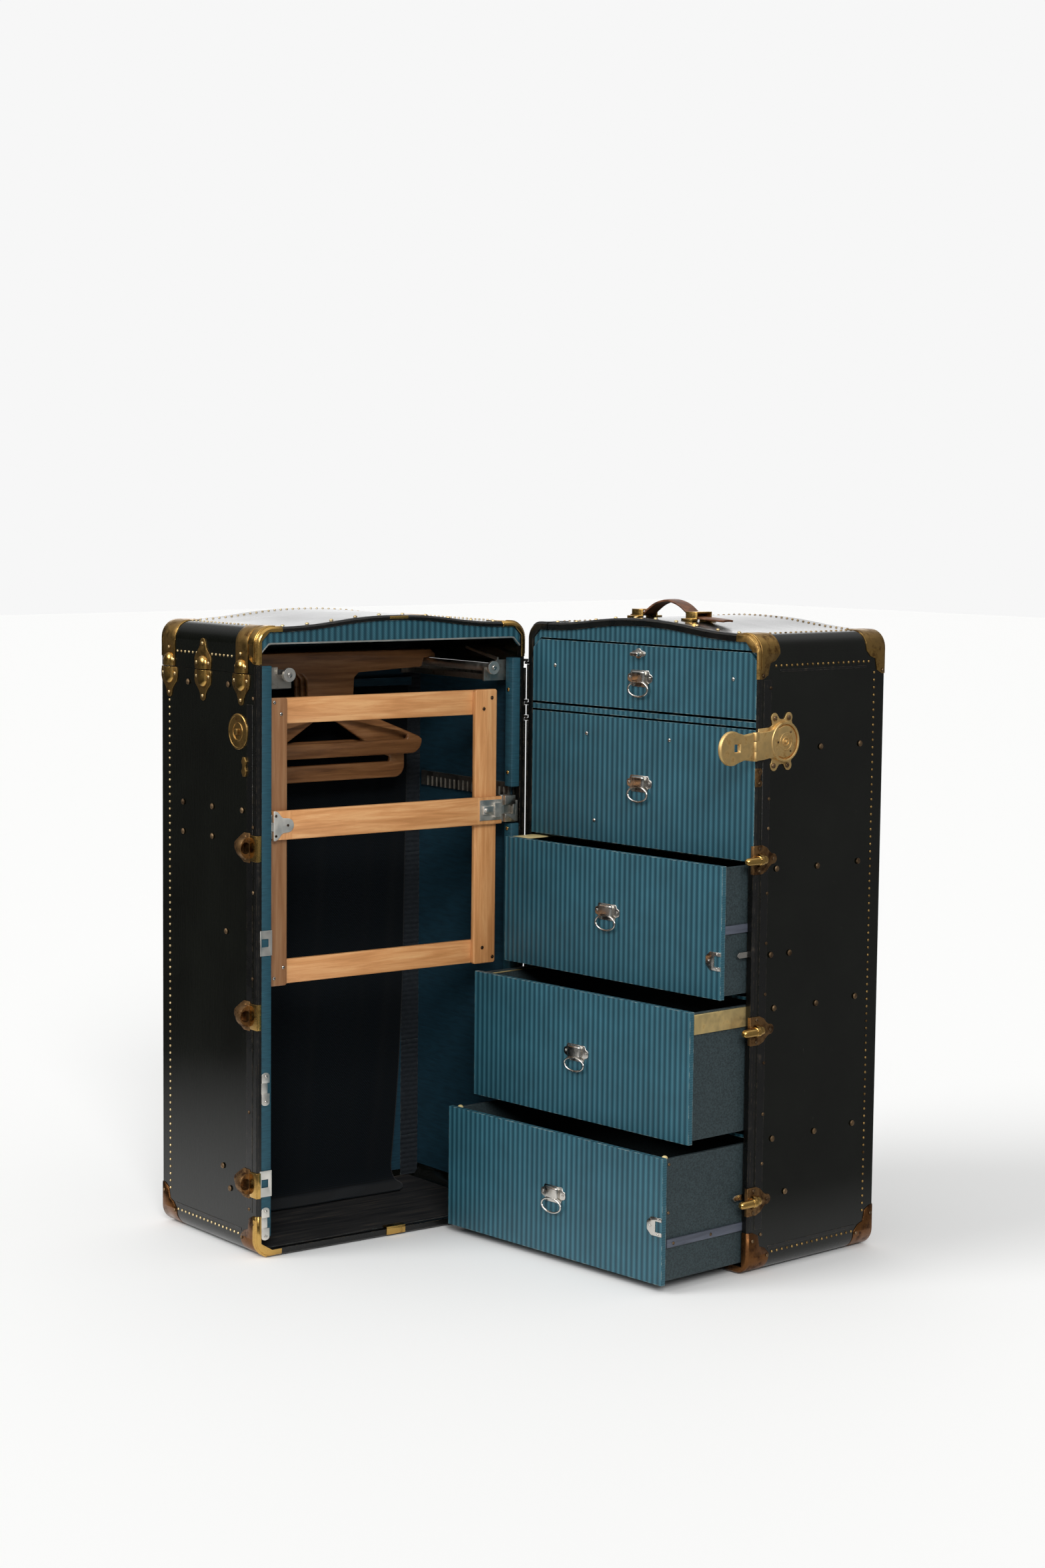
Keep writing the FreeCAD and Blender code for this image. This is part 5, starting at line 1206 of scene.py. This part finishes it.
lock = {"middle": (57.6, 835.5), "wall": 260, "axis": (267, -11), "level": 831,
        # spun parts as (radius, height) steps
        "rim": [(31.5, 0.2), (31.5, 5.6), (30.4, 7.0), (28.6, 7.2), (27.2, 6.2), (27.0, 2.6),
                (20, 2.4)],
        "post": [(7.4, 0), (7.4, 0.8), (6.6, 1.2), (5.6, 0.9), (5.4, -1.4), (2.6, -1.6),
                 (2.5, 1.8), (1.8, 2.6), (0, 2.7)],
        "ring": [(13.6, -0.2), (13.6, 0.35), (13.0, 0.45), (12.6, 0.3), (12.5, -0.2)],
        "screws": ((38, 872), (69, 872), (36, 799), (67, 798.5)), "holes": (180, 55, -55),
        "knuckles": ((809, 823), (840, 853))}


def makeKnuckle(low, high):
    steps = [(3.9, 0), (4.1, 0.5), (4.1, high - low - 0.5), (3.9, high - low)]
    return turned(steps, (*lock["axis"], low), "+z", 20)


def makeLock():
    cy, cz = lock["middle"]
    wall = lock["wall"]
    # base plate with an ear at each corner
    shape = arc(cy, cz, 33, -52, 52, 14)
    shape += arc(70, 872.5, 8, -35, 130, 9) + [(60, 871), (56, 870), (49, 871)]
    shape += arc(38, 872.5, 8, 50, 215, 9) + [(33, 862), (27, 858.5), (2, 857.5)]
    shape += [(a, 2 * cz - b) for a, b in reversed(shape[15:])]
    parts = [plate(shape, 1.8, "+x", wall + hair, 0.5),
             turned(lock["rim"], (wall + 1, cy, cz), "+x", 48)]
    # the arm that comes from the hinge and lies in the dish
    arm = [(-6, 809.2), (10, 809.6), (22, 811.2), (34, 812.4)]
    arm += arc(cy, cz, 25.4, -118, 118, 22)
    arm += [(34, 856.2), (22, 853.6), (10, 852.8), (-6, 852.6)]
    parts.append(plate(arm, 3.6, "+x", wall + 3.4, 1.5, 3))
    # key post in a plain ring, three blind holes round it
    parts.append(turned(lock["post"], (wall + 7.0, cy + 1, cz), "+x", 24))
    parts.append(turned(lock["ring"], (wall + 7.0, cy + 1, cz), "+x", 36))
    for low, high in lock["knuckles"]:
        parts += [makeKnuckle(low, high), bar((265.4, -11, low), (267.2, -2, high), 0.4)]
    base = settle(parts, "lock_dish", "drawer_half", "satinBrass")
    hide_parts("lock_base")
    addHeads("lock_screws", "drawer_half", "brass", "rivet", 4.2, 2.0, "+x",
             [(wall + 1.8, y, z) for y, z in lock["screws"]])
    holes = [(wall + 6.9, cy + 1 + 18 * math.cos(t), cz + 18 * math.sin(t))
             for t in map(math.radians, lock["holes"])]
    addHeads("lock_pins", "drawer_half", "brass", "rivet", 1.7, 0.5, "+x", holes,
             sides=10)
    # hasp flap: round end, waisted neck, crowned rim, square hole
    level = lock["level"]
    flap = arc(-64, level, 26.6, 62, 298, 26)
    flap += [(-44, level - 21.5), (-36, level - 19.4), (-28, level - 20.5), (-16, level - 22),
             (-16, level + 22), (-28, level + 20.5), (-36, level + 19.4), (-44, level + 21.5)]
    piece = plate(flap, 7.2, "+x", 263.2, 0)
    cutOut(piece, (255, -59, level - 6), (280, -47, level + 6))
    bevel(piece, 2.6, 4, 50)
    piece = joined([piece, makeKnuckle(level - 8, level + 8),
                    bar((264.2, -19, level - 8), (268.6, -11, level + 8), 0.4)])
    smooth(35)
    settle(piece, "hasp_plate", "hasp_flap", "satinBrass")
    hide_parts("lock_hasp")


makeLock()
print("lock")

# ---- loaf hinges of the lid: leaf plates with half a loaf on each side of the seam

loaf = {"middles": (47.8, 163.7, 269.4), "seam": 927.3, "wall": -260, "wide": 14,
        "deep": 7.8, "straight": {1: 8, -1: 12}, "long": {1: 22.5, -1: 28}, "cap": 0.3,
        "leaf": [(24, 0.8), (25.5, 8), (25.5, 17), (22.5, 24), (16.5, 29), (11.5, 34), (8.8, 39)],
        "shoulder": 28, "springs": 973, "band": 17.5, "lift": 0.85}


def makeCrown(middle, way):
    # a half loaf: straight from the seam, then rounded off like a capsule
    crown = ball(24, 20)
    for plane, side in (((0, 0, 1), {"clear_inner": True}), ((1, 0, 0), {"clear_outer": True})):
        editAll()
        bpy.ops.mesh.bisect(plane_co=(0, 0, 0), plane_no=plane, use_fill=True, **side)
        bpy.ops.object.mode_set(mode="OBJECT")
    cap, straight = loaf["cap"], loaf["straight"][way]
    for v in crown.data.vertices:
        x, y, z = v.co
        far, rim = math.hypot(x, y), math.sqrt(max(0, 1 - z * z))
        if z < cap:
            up, full = 1 + straight * z / cap, 1.0
        else:
            step = (z - cap) / (1 - cap)
            up = 1 + straight + (loaf["long"][way] - straight - 1) * step
            full = math.sqrt(max(0, 1 - step * step))
        shrink = full / far if far > 1e-4 and far > 0.999 * rim else full
        v.co = Vector((loaf["wall"] - 1.2 + x * shrink * loaf["deep"],
                       middle + y * shrink * loaf["wide"], loaf["seam"] + way * up)) * mm
    editAll()
    faceOut()
    smooth(50)
    return crown


def makeLeafPlate(middle, way):
    seam = loaf["seam"]
    side = [(a, seam + way * b) for a, b in loaf["leaf"]]
    tip = [(a, seam + way * b) for a, b in arc(0, 42, 8.2, 12, 168, 8)]
    shape = [(middle + a, b) for a, b in side + tip]
    shape += [(middle - a, b) for a, b in reversed(side)]
    return plate(shape, 1.6, "-x", loaf["wall"] - hair, 0.6)


def makeBand(middle):
    # the lid's corner plate: a strap from the seam up over the rounded shoulder
    radius, springs, lift = loaf["shoulder"], loaf["springs"], loaf["lift"]
    path = [(loaf["wall"] - lift, loaf["seam"] + 0.8), (loaf["wall"] - lift, springs)]
    for turn in range(10, 91, 8):
        t = math.radians(180 - turn)
        path.append((loaf["wall"] + radius + (radius + lift) * math.cos(t),
                     springs + (radius + lift) * math.sin(t)))
    piece = grid(len(path) - 1, 4)
    for v in piece.data.vertices:
        x, z = path[round((v.co.x + 1) / 2 * (len(path) - 1))]
        v.co = Vector((x, middle + v.co.y * loaf["band"], z)) * mm
    finishWith(piece, "SOLIDIFY", thickness=1.6 * mm, offset=0)
    bevel(piece, 0.45, 2, 60)
    smooth(35)
    return piece


def makeLoaves():
    middles, wall, seam = loaf["middles"], loaf["wall"], loaf["seam"]
    for end, way, body in (("lower", -1, "hanger_half"), ("upper", 1, "lid")):
        upper = end == "upper"
        crowns = [makeCrown(middle, way) for middle in middles]
        piece = settle(crowns, f"lid_loaves_{end}", body, "brass")
        if not upper:
            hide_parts("lid_hinge_lower_leaves")
        leaves = [makeLeafPlate(middle, way) for middle in (middles[1:2] if upper else middles)]
        if upper:
            leaves += [makeBand(middles[0] - 2.5), makeBand(middles[2])]
        settle(leaves, f"lid_leaf_plates_{end}", body, "brassAged")
        tips = (31, 42, 31) if upper else (42, 42, 42)
        reach = (14.5, 18.5, 14.5) if upper else (18.5, 18.5, 18.5)
        pins = [(wall - 1.5, middle, seam + way * tip) for middle, tip in zip(middles, tips)]
        pins += [(wall - 1.5, middle + side * far, seam + way * 11)
                 for middle, far in zip(middles, reach) for side in (-1, 1)]
        addHeads(f"lid_loaf_pins_{end}", body, "brass", "nail", 2.7, 1.8, "-x", pins,
                 sides=14)


makeLoaves()
print("loaf hinges")

# ---- dark ribbed strip up the back corner of the hanger half

inside = {"strip": (214, 250), "back": 289.6, "low": 14, "top": 918, "pitch": 8.5,
          "relief": 1.6}


def makeStrip():
    # corrugated paper strip glued up the back corner, its ribs lying level
    low, high = inside["strip"]
    piece = grid(2, 420)
    long = inside["top"] - inside["low"]
    for v in piece.data.vertices:
        z = inside["low"] + (v.co.y + 1) / 2 * long
        rib = abs(math.sin(math.pi * z / inside["pitch"])) ** 0.7
        v.co = Vector(((low + high) / 2 + v.co.x * (high - low) / 2,
                       inside["back"] - 0.2 - inside["relief"] * rib, z)) * mm
    finishWith(piece, "SOLIDIFY", thickness=0.8 * mm, offset=1)
    smooth(60)
    settle(piece, "back_corner_strip", "hanger_half", "darkPaper")


makeStrip()
print("back strip")

# ---- screws, eyelets and pins

gateScrews = {"hinge": [(205.7, 875), (189.5, 857), (190, 458), (211, 441)],
              "free": [(-205.5, 863.5), (-218, 882), (-201, 460.5), (-218, 444)], "front": 18}
for side, finish, radius in (("hinge", "screw", 3.1), ("free", "nickel", 2.8)):
    addHeads(f"gate_screws_{side}_side", "gate", "nickel", finish, radius, 1.2, "-y",
             [(x, gateScrews["front"], z) for x, z in gateScrews[side]])
gateLeaf = {"level": 688, "edge": -225.1, "front": 7.4, "screws": ((4, 16), (26, 0), (4, -16)),
            "side": [(0, -23.6), (3.5, -23.6), (7.5, -22), (11, -18.5), (14, -14.4),
                     (18, -11.9)]}


def makeLeaf():
    # three-lobed hinge leaf screwed over the middle rail's end
    level, edge = gateLeaf["level"], gateLeaf["edge"]
    lower, upper = mirrored([(edge + a, b) for a, b in gateLeaf["side"]], level)
    lobe, front = arc(edge + 26.2, level, 11.2, -85, 85, 12), gateLeaf["front"]
    settle(plate(lower + lobe + upper, 1.3, "-y", front + 1.2, 0.3), "gate_hinge_leaf", "gate",
           "matt")
    addHeads("gate_leaf_screws", "gate", "nickel", "screw", 2.2, 1.0, "-y",
             [(edge + a, front, level + b) for a, b in gateLeaf["screws"]])


makeLeaf()
addHeads("batten_eyelets", "hanger_half", "brass", "brass", 3.4, 1.6, "-x",
         [(235.5, 11, z) for z in (888, 750, 656, 438, 300, 160)])
addHeads("rod_cap_screws", "trolley", "nickel", "nickel", 4.2, 1.3, "-y",
         [(-194.6, 10, 925), (204, 10, 925)])
print("screws")

# ---- ribbed panels: the embossed ribs as real relief on the fronts and fascias

panel = {"depth": 0.4, "columns": 8}


def zSpan(skin, place, x, y):
    # lowest and highest level of a carried-over panel at one x
    found = []
    for start, way in ((-0.1, 1), (1.2, -1)):
        origin = place @ Vector((x * mm, y * mm, start))
        point = skin.ray_cast(origin, Vector((0, 0, way)))[0]
        found.append(point.z / mm if point is not None else None)
    return found


def makePanel(name, body, finish, front, thick, lift=0, lower=0):
    skin = skinOf([name])
    place = halfPlace(halfOf(body))
    back = place.inverted()
    edges = [(back @ v.co).x / mm for v in nodes[name].data.vertices]
    low, high = min(edges), max(edges)
    count = round((high - low) / ribbed["pitch"] * panel["columns"])
    piece = grid(count, 2)
    spans = {}
    for v in piece.data.vertices:
        x = low + (v.co.x + 1) / 2 * (high - low)
        key = round(x, 3)
        if key not in spans:
            inner = min(max(x, low + 0.4), high - 0.4)
            spans[key] = zSpan(skin, place, inner, front + thick / 2)
        foot, top = spans[key]
        foot, top = foot + lift, top - lower
        along = abs((x / ribbed["pitch"]) % 1 - 0.5) * 2      # 1 in a groove, 0 on a rib
        relief = panel["depth"] * max(0, along - 0.35) / 0.65
        v.co = Vector((x, front + relief, foot + (v.co.y + 1) / 2 * (top - foot))) * mm
    finishWith(piece, "SOLIDIFY", thickness=(thick - panel["depth"]) * mm, offset=-1)
    smooth(30)
    settle(piece, f"{name}_ribbed", body, finish)
    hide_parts(name)


for number in range(1, 6):
    makePanel(f"drawer_{number}_front", f"drawer_{number}", "ribbedD",
              -pull["out"][number], 9, lift=3 if number == 1 else 0,
              lower=2.4 if number == 2 else 0)
makePanel("drawer_half_fascia", "drawer_half", "ribbedD", 3, 4, lift=2)
makePanel("lid_fascia", "lid", "ribbedH", 3, 4)
print("ribbed panels")

# ---- brass fittings of the drawer half: dowel plates, their pins, and the small catch

dowel = {"levels": (654.6, 387.5, 117.8), "wall": 260, "out": 268,
         "plate": [(-4, -22.6), (16, -22.6), (26, -18.5), (32, -12), (37, -8.6)],
         # the collar and the pin, as (radius, height) steps
         "collar": [(10.4, 0), (10.4, 8), (9.6, 9.4), (8.2, 9.8), (8.0, 16), (7.0, 18),
                    (4.2, 19.6), (0, 20)],
         "pin": [(7.7, 0), (7.7, 6), (6.6, 6.6), (6.2, 28), (5.2, 32), (3.2, 33.6), (2.8, 34)]}


def makeDowels():
    plates, pins, heads = [], [], []
    wall, out = dowel["wall"], dowel["out"]
    for level in dowel["levels"]:
        lower, upper = mirrored(dowel["plate"], level)
        shape = lower + arc(40.5, level, 8.2, -72, 72, 9) + upper
        plates += [plate(shape, 2, "+x", wall + hair, 0.7),
                   bar((wall - 4, -4.4, level - 22), (wall + 1.6, -2.6, level + 22), 0.5)]
        pins += [turned(dowel["collar"], (wall + 1.4, 5, level), "+y", 28),
                 turned(dowel["pin"], (out, 7, level), "-y", 24)]
        heads += [(wall + 1.9, 9, level + 17.5), (wall + 1.9, 9, level - 17.5),
                  (wall + 1.9, 40.5, level)]
    # small catch below the lock
    plates.append(plate([(-3, 768), (9, 768)] + arc(7, 773, 5.4, -60, 60, 5) + [(8.5, 778),
                        (8.5, 786)] + arc(7, 791, 5.4, -60, 60, 5) + [(9, 796.5), (-3, 796.5)],
                        1.8, "+x", wall + hair, 0.6))
    heads += [(wall + 1.7, 5.5, 773), (wall + 1.7, 5.5, 791)]
    piece = settle(plates, "dowel_plates_cut", "drawer_half", "oldBrass")
    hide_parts("drawer_half_dowel_plates")
    settle(pins, "dowel_pins", "drawer_half", "brass")
    addHeads("dowel_plate_screws", "drawer_half", "brass", "rivet", 3.0, 1.4, "+x",
             heads)


makeDowels()
print("dowel plates")

# ---- beads raised round the front corners, and the rivets that hold the corner plates

# the corner that the beads run round: its centre, and how far off the rays start
cornerRound = {"across": 218, "top": 955, "foot": 42, "reach": 130, "least": 1.3}
cornerBeads = {
    "drawers": ("drawer_half_corners", "drawer_half", "corner", (1,), (2.4, 7.2), 1.3),
    "lid": ("lid_corners", "lid", "brass", (1, -1), (3.6, 8.6), 1.3),
    "foot": ("hanger_half_corners", "hanger_half", "brass", (1, -1), (2.7, 7.3), 2.4)}


def tubeAlong(points, radius, about=8):
    # a closed-ended bead along a line of points
    piece = grid(len(points) - 1, about)
    count = len(points)
    for v in piece.data.vertices:
        index = min(count - 1, max(0, round((v.co.x + 1) / 2 * (count - 1))))
        spin = math.pi * 2 * (v.co.y + 1) / 2
        here = points[index]
        ahead = (points[min(count - 1, index + 1)] - points[max(0, index - 1)]).normalized()
        side = Vector((0, 1, 0))
        out = ahead.cross(side).normalized()
        v.co = (here + (side * math.cos(spin) + out * math.sin(spin)) * radius) * mm
    editAll()
    bpy.ops.mesh.remove_doubles(threshold=0.01 * mm)
    bpy.ops.mesh.select_all(action="DESELECT")
    bpy.ops.mesh.select_mode(type="EDGE")
    bpy.ops.mesh.select_non_manifold(extend=False)
    bpy.ops.mesh.edge_face_add()
    faceOut()
    smooth(50)
    return piece


def makeCornerBeads():
    reach = cornerRound["reach"]
    for part, (node, body, finish, sides, levels, radius) in cornerBeads.items():
        skin, place = skinOf([node]), halfPlace(halfOf(body))
        way, back = place.to_3x3(), place.inverted()
        end, rise, first = ("foot", -1, -25) if part == "foot" else ("top", 1, -10)
        beads = []
        for side, y in ((side, y) for side in sides for y in levels):
            centre = Vector((side * cornerRound["across"], y, cornerRound[end]))
            points = []
            for t in (math.radians(turn) for turn in range(first, 81, 5)):
                aim = Vector((side * math.cos(t), 0, rise * math.sin(t)))
                hit = skin.ray_cast(place @ ((centre + aim * reach) * mm), way @ (-aim),
                                    reach * mm)[0]
                if hit is not None:
                    points.append(back @ hit / mm - aim * (radius - cornerRound["least"]))
            if len(points) > 4:
                beads.append(tubeAlong(points, radius))
        if beads:
            settle(beads, f"{part}_corner_beads", body, finish)


makeCornerBeads()
print("corner beads")

cornerRivets = {
    "drawers": ("drawer_half", "drawer_half_corners", [(1, 10.8, 938.2), (1, 44.4, 955.8),
                (1, 9.5, 55), (1, 44, 27), (1, 255, 27), (1, 289, 55), (1, 255, 955),
                (1, 289, 938), (-1, 255, 27), (-1, 289, 55), (-1, 255, 955), (-1, 289, 938),
                (-1, 10.8, 55), (-1, 44, 27)]),
    "hanger": ("hanger_half", "hanger_half_corners", [(side, y, z) for side in (-1, 1)
               for y, z in ((9.5, 55), (44, 27), (255, 27), (289, 55))])}


def makeCornerRivets():
    for half, (body, node, spots) in cornerRivets.items():
        skin = skinOf([node])
        found = []
        for side in (-1, 1):
            where = [(side * 300, y, z) for s, y, z in spots if s == side]
            found += landed((skin, None), half, where, (-side, 0, 0))
        settle(repeat(dome(3.1, 1.7, 14), found), f"{half}_corner_rivets", body,
               "rivet", placed=True)


makeCornerRivets()
print("corner rivets")

# ---- binding strips lapped over the side boards, and the brass clips at the sockets

strips = {"thick": 0.55, "front": (14, 31), "foot": (36, 41.5), "top": (943, 947)}


def makeStrips():
    for half, body, top in (("drawers", "drawer_half", 932), ("hanger", "hanger_half", 880)):
        spans = [(strips["front"][0], 72, strips["front"][1], top),
                 (46, strips["foot"][0], 252, strips["foot"][1])]
        if half == "drawers":
            spans.append((50, strips["top"][0], 252, strips["top"][1]))
        parts = []
        for side in (-1, 1):
            near, far = sorted((side * 259.8, side * (260 + strips["thick"])))
            parts += [bar((near, y0, z0), (far, y1, z1), 0.25, 1) for y0, z0, y1, z1 in spans]
        settle(parts, f"{half}_binding_strips", body, "binding")


makeStrips()

hingeStrip = {"reach": 263.3, "wall": 259.4, "deep": (0.3, 9), "low": 68.6, "knuckle": 4.7,
              "tops": {"drawers": 929.8, "hanger": 924}, "back": (4.2, 8.8),
              "leaves": (124, 150, 479, 505, 841, 867)}


def makeHingeStrips():
    # black strips that close up to the hinge line, broken where the hinge leaves are
    (near, far), (behind, last) = hingeStrip["deep"], hingeStrip["back"]
    clear, foot = hingeStrip["knuckle"], hingeStrip["low"]
    for half, body, side in (("drawers", "drawer_half", -1), ("hanger", "hanger_half", 1)):
        left, right = sorted((side * hingeStrip["wall"], side * hingeStrip["reach"]))
        top, low, parts = hingeStrip["tops"][half], foot, []
        for level in hingeStrip["leaves"] + (top + clear,):
            parts.append(bar((left, near, low), (right, far, level - clear)))
            low = level + clear
        left, right = sorted((side * hingeStrip["wall"], side * (hingeStrip["reach"] - 0.2)))
        parts.append(bar((left, behind, foot + 1), (right, last, top - 1), 0.5, 1))
        settle(parts, f"{half}_hinge_strip", body, "binding")


makeHingeStrips()
clips = []
for level in dowel["levels"]:
    foot, top = level - 20.5, level + 20.5
    clips += [bar((-261.8, -1.3, foot), (-259.7, 20.5, top), 0.5),
              bar((-261.8, -1.3, foot), (-253.4, 0.3, top), 0.4)]
settle(clips, "socket_edge_clips", "hanger_half", "brass")
print("binding strips and edge clips")

# ---- sockets of the hanger half, its lock disc and small catch

socket = {"wall": -260, "out": 268,
          "plate": [(20, -23.5), (37, -23.5), (48, -17.5), (58, -11), (65, -6), (67, 0)],
          "disc": [(28.5, 0), (28.5, 1.6), (27.4, 2.6), (25.6, 2.6), (25.0, 2.0), (15.2, 2.0),
                   (14.8, 2.9), (13.4, 2.9), (13.0, 1.6), (8.4, 1.6)]}


def makeSocket(level):
    wall = socket["wall"]
    lower, upper = mirrored(socket["plate"], level)
    base = plate(lower + upper[1:], 2, "-x", wall - hair, 0.8)
    hood = ball(28, 18)
    hood.data.transform(Matrix.Translation(Vector((wall - 4, 27, level)) * mm)
                        @ Matrix.Diagonal((14.5 * mm, 23 * mm, 17.5 * mm, 1)))
    cutOut(hood, (wall, -10, level - 30), (wall + 40, 60, level + 30))
    cutOut(hood, (wall - 40, -10, level - 30), (wall + 20, 21, level + 30))
    clearPicks()
    bpy.ops.mesh.primitive_cylinder_add(vertices=28, radius=9.2 * mm, depth=40 * mm,
                                        location=Vector((-socket["out"], 18, level)) * mm,
                                        rotation=(math.pi / 2, 0, 0))
    cutAway(hood, bpy.context.object)
    smooth(40)
    return [base, hood, headsAt(2.9, 1.9, "-x", [(wall - 1.9, 31, level + 17),
            (wall - 1.9, 59, level), (wall - 1.9, 32, level - 16.8)], sides=14)]


def makeSockets():
    wall = socket["wall"]
    parts = []
    for level in dowel["levels"]:
        parts += makeSocket(level)
    piece = settle(parts, "sockets_cut", "hanger_half", "oldBrass")
    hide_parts("dowel_sockets")
    disc = turned(socket["disc"], (wall, 55.7, 835.5), "-x", 40)
    boss = bar((wall - 6.5, 51.2, 831), (wall, 60.2, 840), 1.2, 3)
    left, right = [(32, 785), (32, 779)], [(41, 779), (41, 785)]
    outline = [(33, 766), (40, 766)] + arc(38.5, 774, 5, -50, 50, 4) + right
    outline += arc(38.5, 789, 5, -50, 50, 4) + [(40, 796.5), (33, 796.5)]
    outline += arc(34.5, 789, 5, 130, 230, 4) + left + arc(34.5, 774, 5, 130, 230, 4)
    settle([disc, boss, plate(outline, 3, "-x", wall - hair, 0.9)], "lock_disc_turned",
           "hanger_half", "brassAged")


makeSockets()
print("sockets and lock disc")

# ---- polished strip that edges the lid's fascia, and the plain clip on the sill

edging = {"half": 251, "deep": 1.6, "high": 2.4}


def makeEdging():
    skin, place = skinOf(["lid_fascia"]), halfPlace("hanger")
    piece = grid(120, 1)
    for v in piece.data.vertices:
        x = v.co.x * edging["half"]
        foot = zSpan(skin, place, x, 5)[0]
        v.co = Vector((x, edging["deep"], foot + (v.co.y + 1) / 2 * edging["high"])) * mm
    finishWith(piece, "SOLIDIFY", thickness=1.6 * mm, offset=-1)
    smooth(30)
    settle(piece, "lid_fascia_edging", "lid", "satin")


makeEdging()
settle([bar((-12, -1.8, 2.5), (25, 0.4, 15.5)), bar((-12, -1.8, 14.2), (25, 12, 16))],
       "sill_clip", "hanger_half", "brass")
print("edging and sill clip")

# ---- small things in the open drawers, and the side catches of the hanger half

flanges = [bar((x, -113, 422.6), (x + 11, 40, 424.4), 0.4) for x in (-247, 236)]
settle(flanges, "drawer_4_rail_flanges", "drawer_4", "gilt")
settle(bar((-246.5, -48.6, 644.8), (-214, 60, 647), 0.4), "drawer_3_ledge", "drawer_3",
       "rail")
addHeads("drawer_5_corner_pins", "drawer_5", "hardwood", "rail", 5.0, 4.2, "+z",
         [(-236, -162, 208), (236, -162, 208)], sides=12)
addHeads("drawer_5_side_nails", "drawer_5", "brass", "rivet", 2.6, 1.2, "+x",
         [(244, -161, 200), (244, -161, 125)], sides=12)
addHeads("runner_screws", "drawer_5", "brass", "rivet", 2.6, 1.0, "+x",
         [(247, -152, 77), (247, -70, 77), (247, 20, 77)], sides=12)
sideCatch = {"left": -251.6, "right": -236.8, "middles": (272.5, 55.5), "top": (9.5, 26),
             "neck": (-8, 10), "foot": (-27, -7.5), "at": 1.2, "thick": 1.7}


def makeSideCatches():
    # two leaves with round ends on the batten, and a narrow sunk neck between them
    left, right, at = sideCatch["left"], sideCatch["right"], sideCatch["at"]
    half, thick = (right - left) / 2, sideCatch["thick"]
    parts, screws = [], []
    for middle in sideCatch["middles"]:
        for leaf, way in (("top", 1), ("foot", -1)):
            base, end = (middle + level for level in sideCatch[leaf][::way])
            crown = [(left + half - half * math.cos(t), end - way * 5 + way * 5 * math.sin(t))
                     for t in (math.radians(a) for a in range(0, 181, 15))]
            outline = ([(left, base)] + crown + [(right, base)])[::-way]
            parts.append(plate(outline, thick, "-y", at, 0.4))
            screws.append((left + half + 0.6, at - thick, end - way * 6.2))
        low, high = sideCatch["neck"]
        parts.append(bar((left - 0.4, 0.6, middle + low), (right - 3.4, 1.5, middle + high), 0.3))
    settle(parts, "side_catches", "hanger_half", "satin")
    addHeads("catch_plate_screws", "hanger_half", "nickel", "nickel", 2.6, 1.2, "-y",
             screws)


makeSideCatches()
print("drawer details")
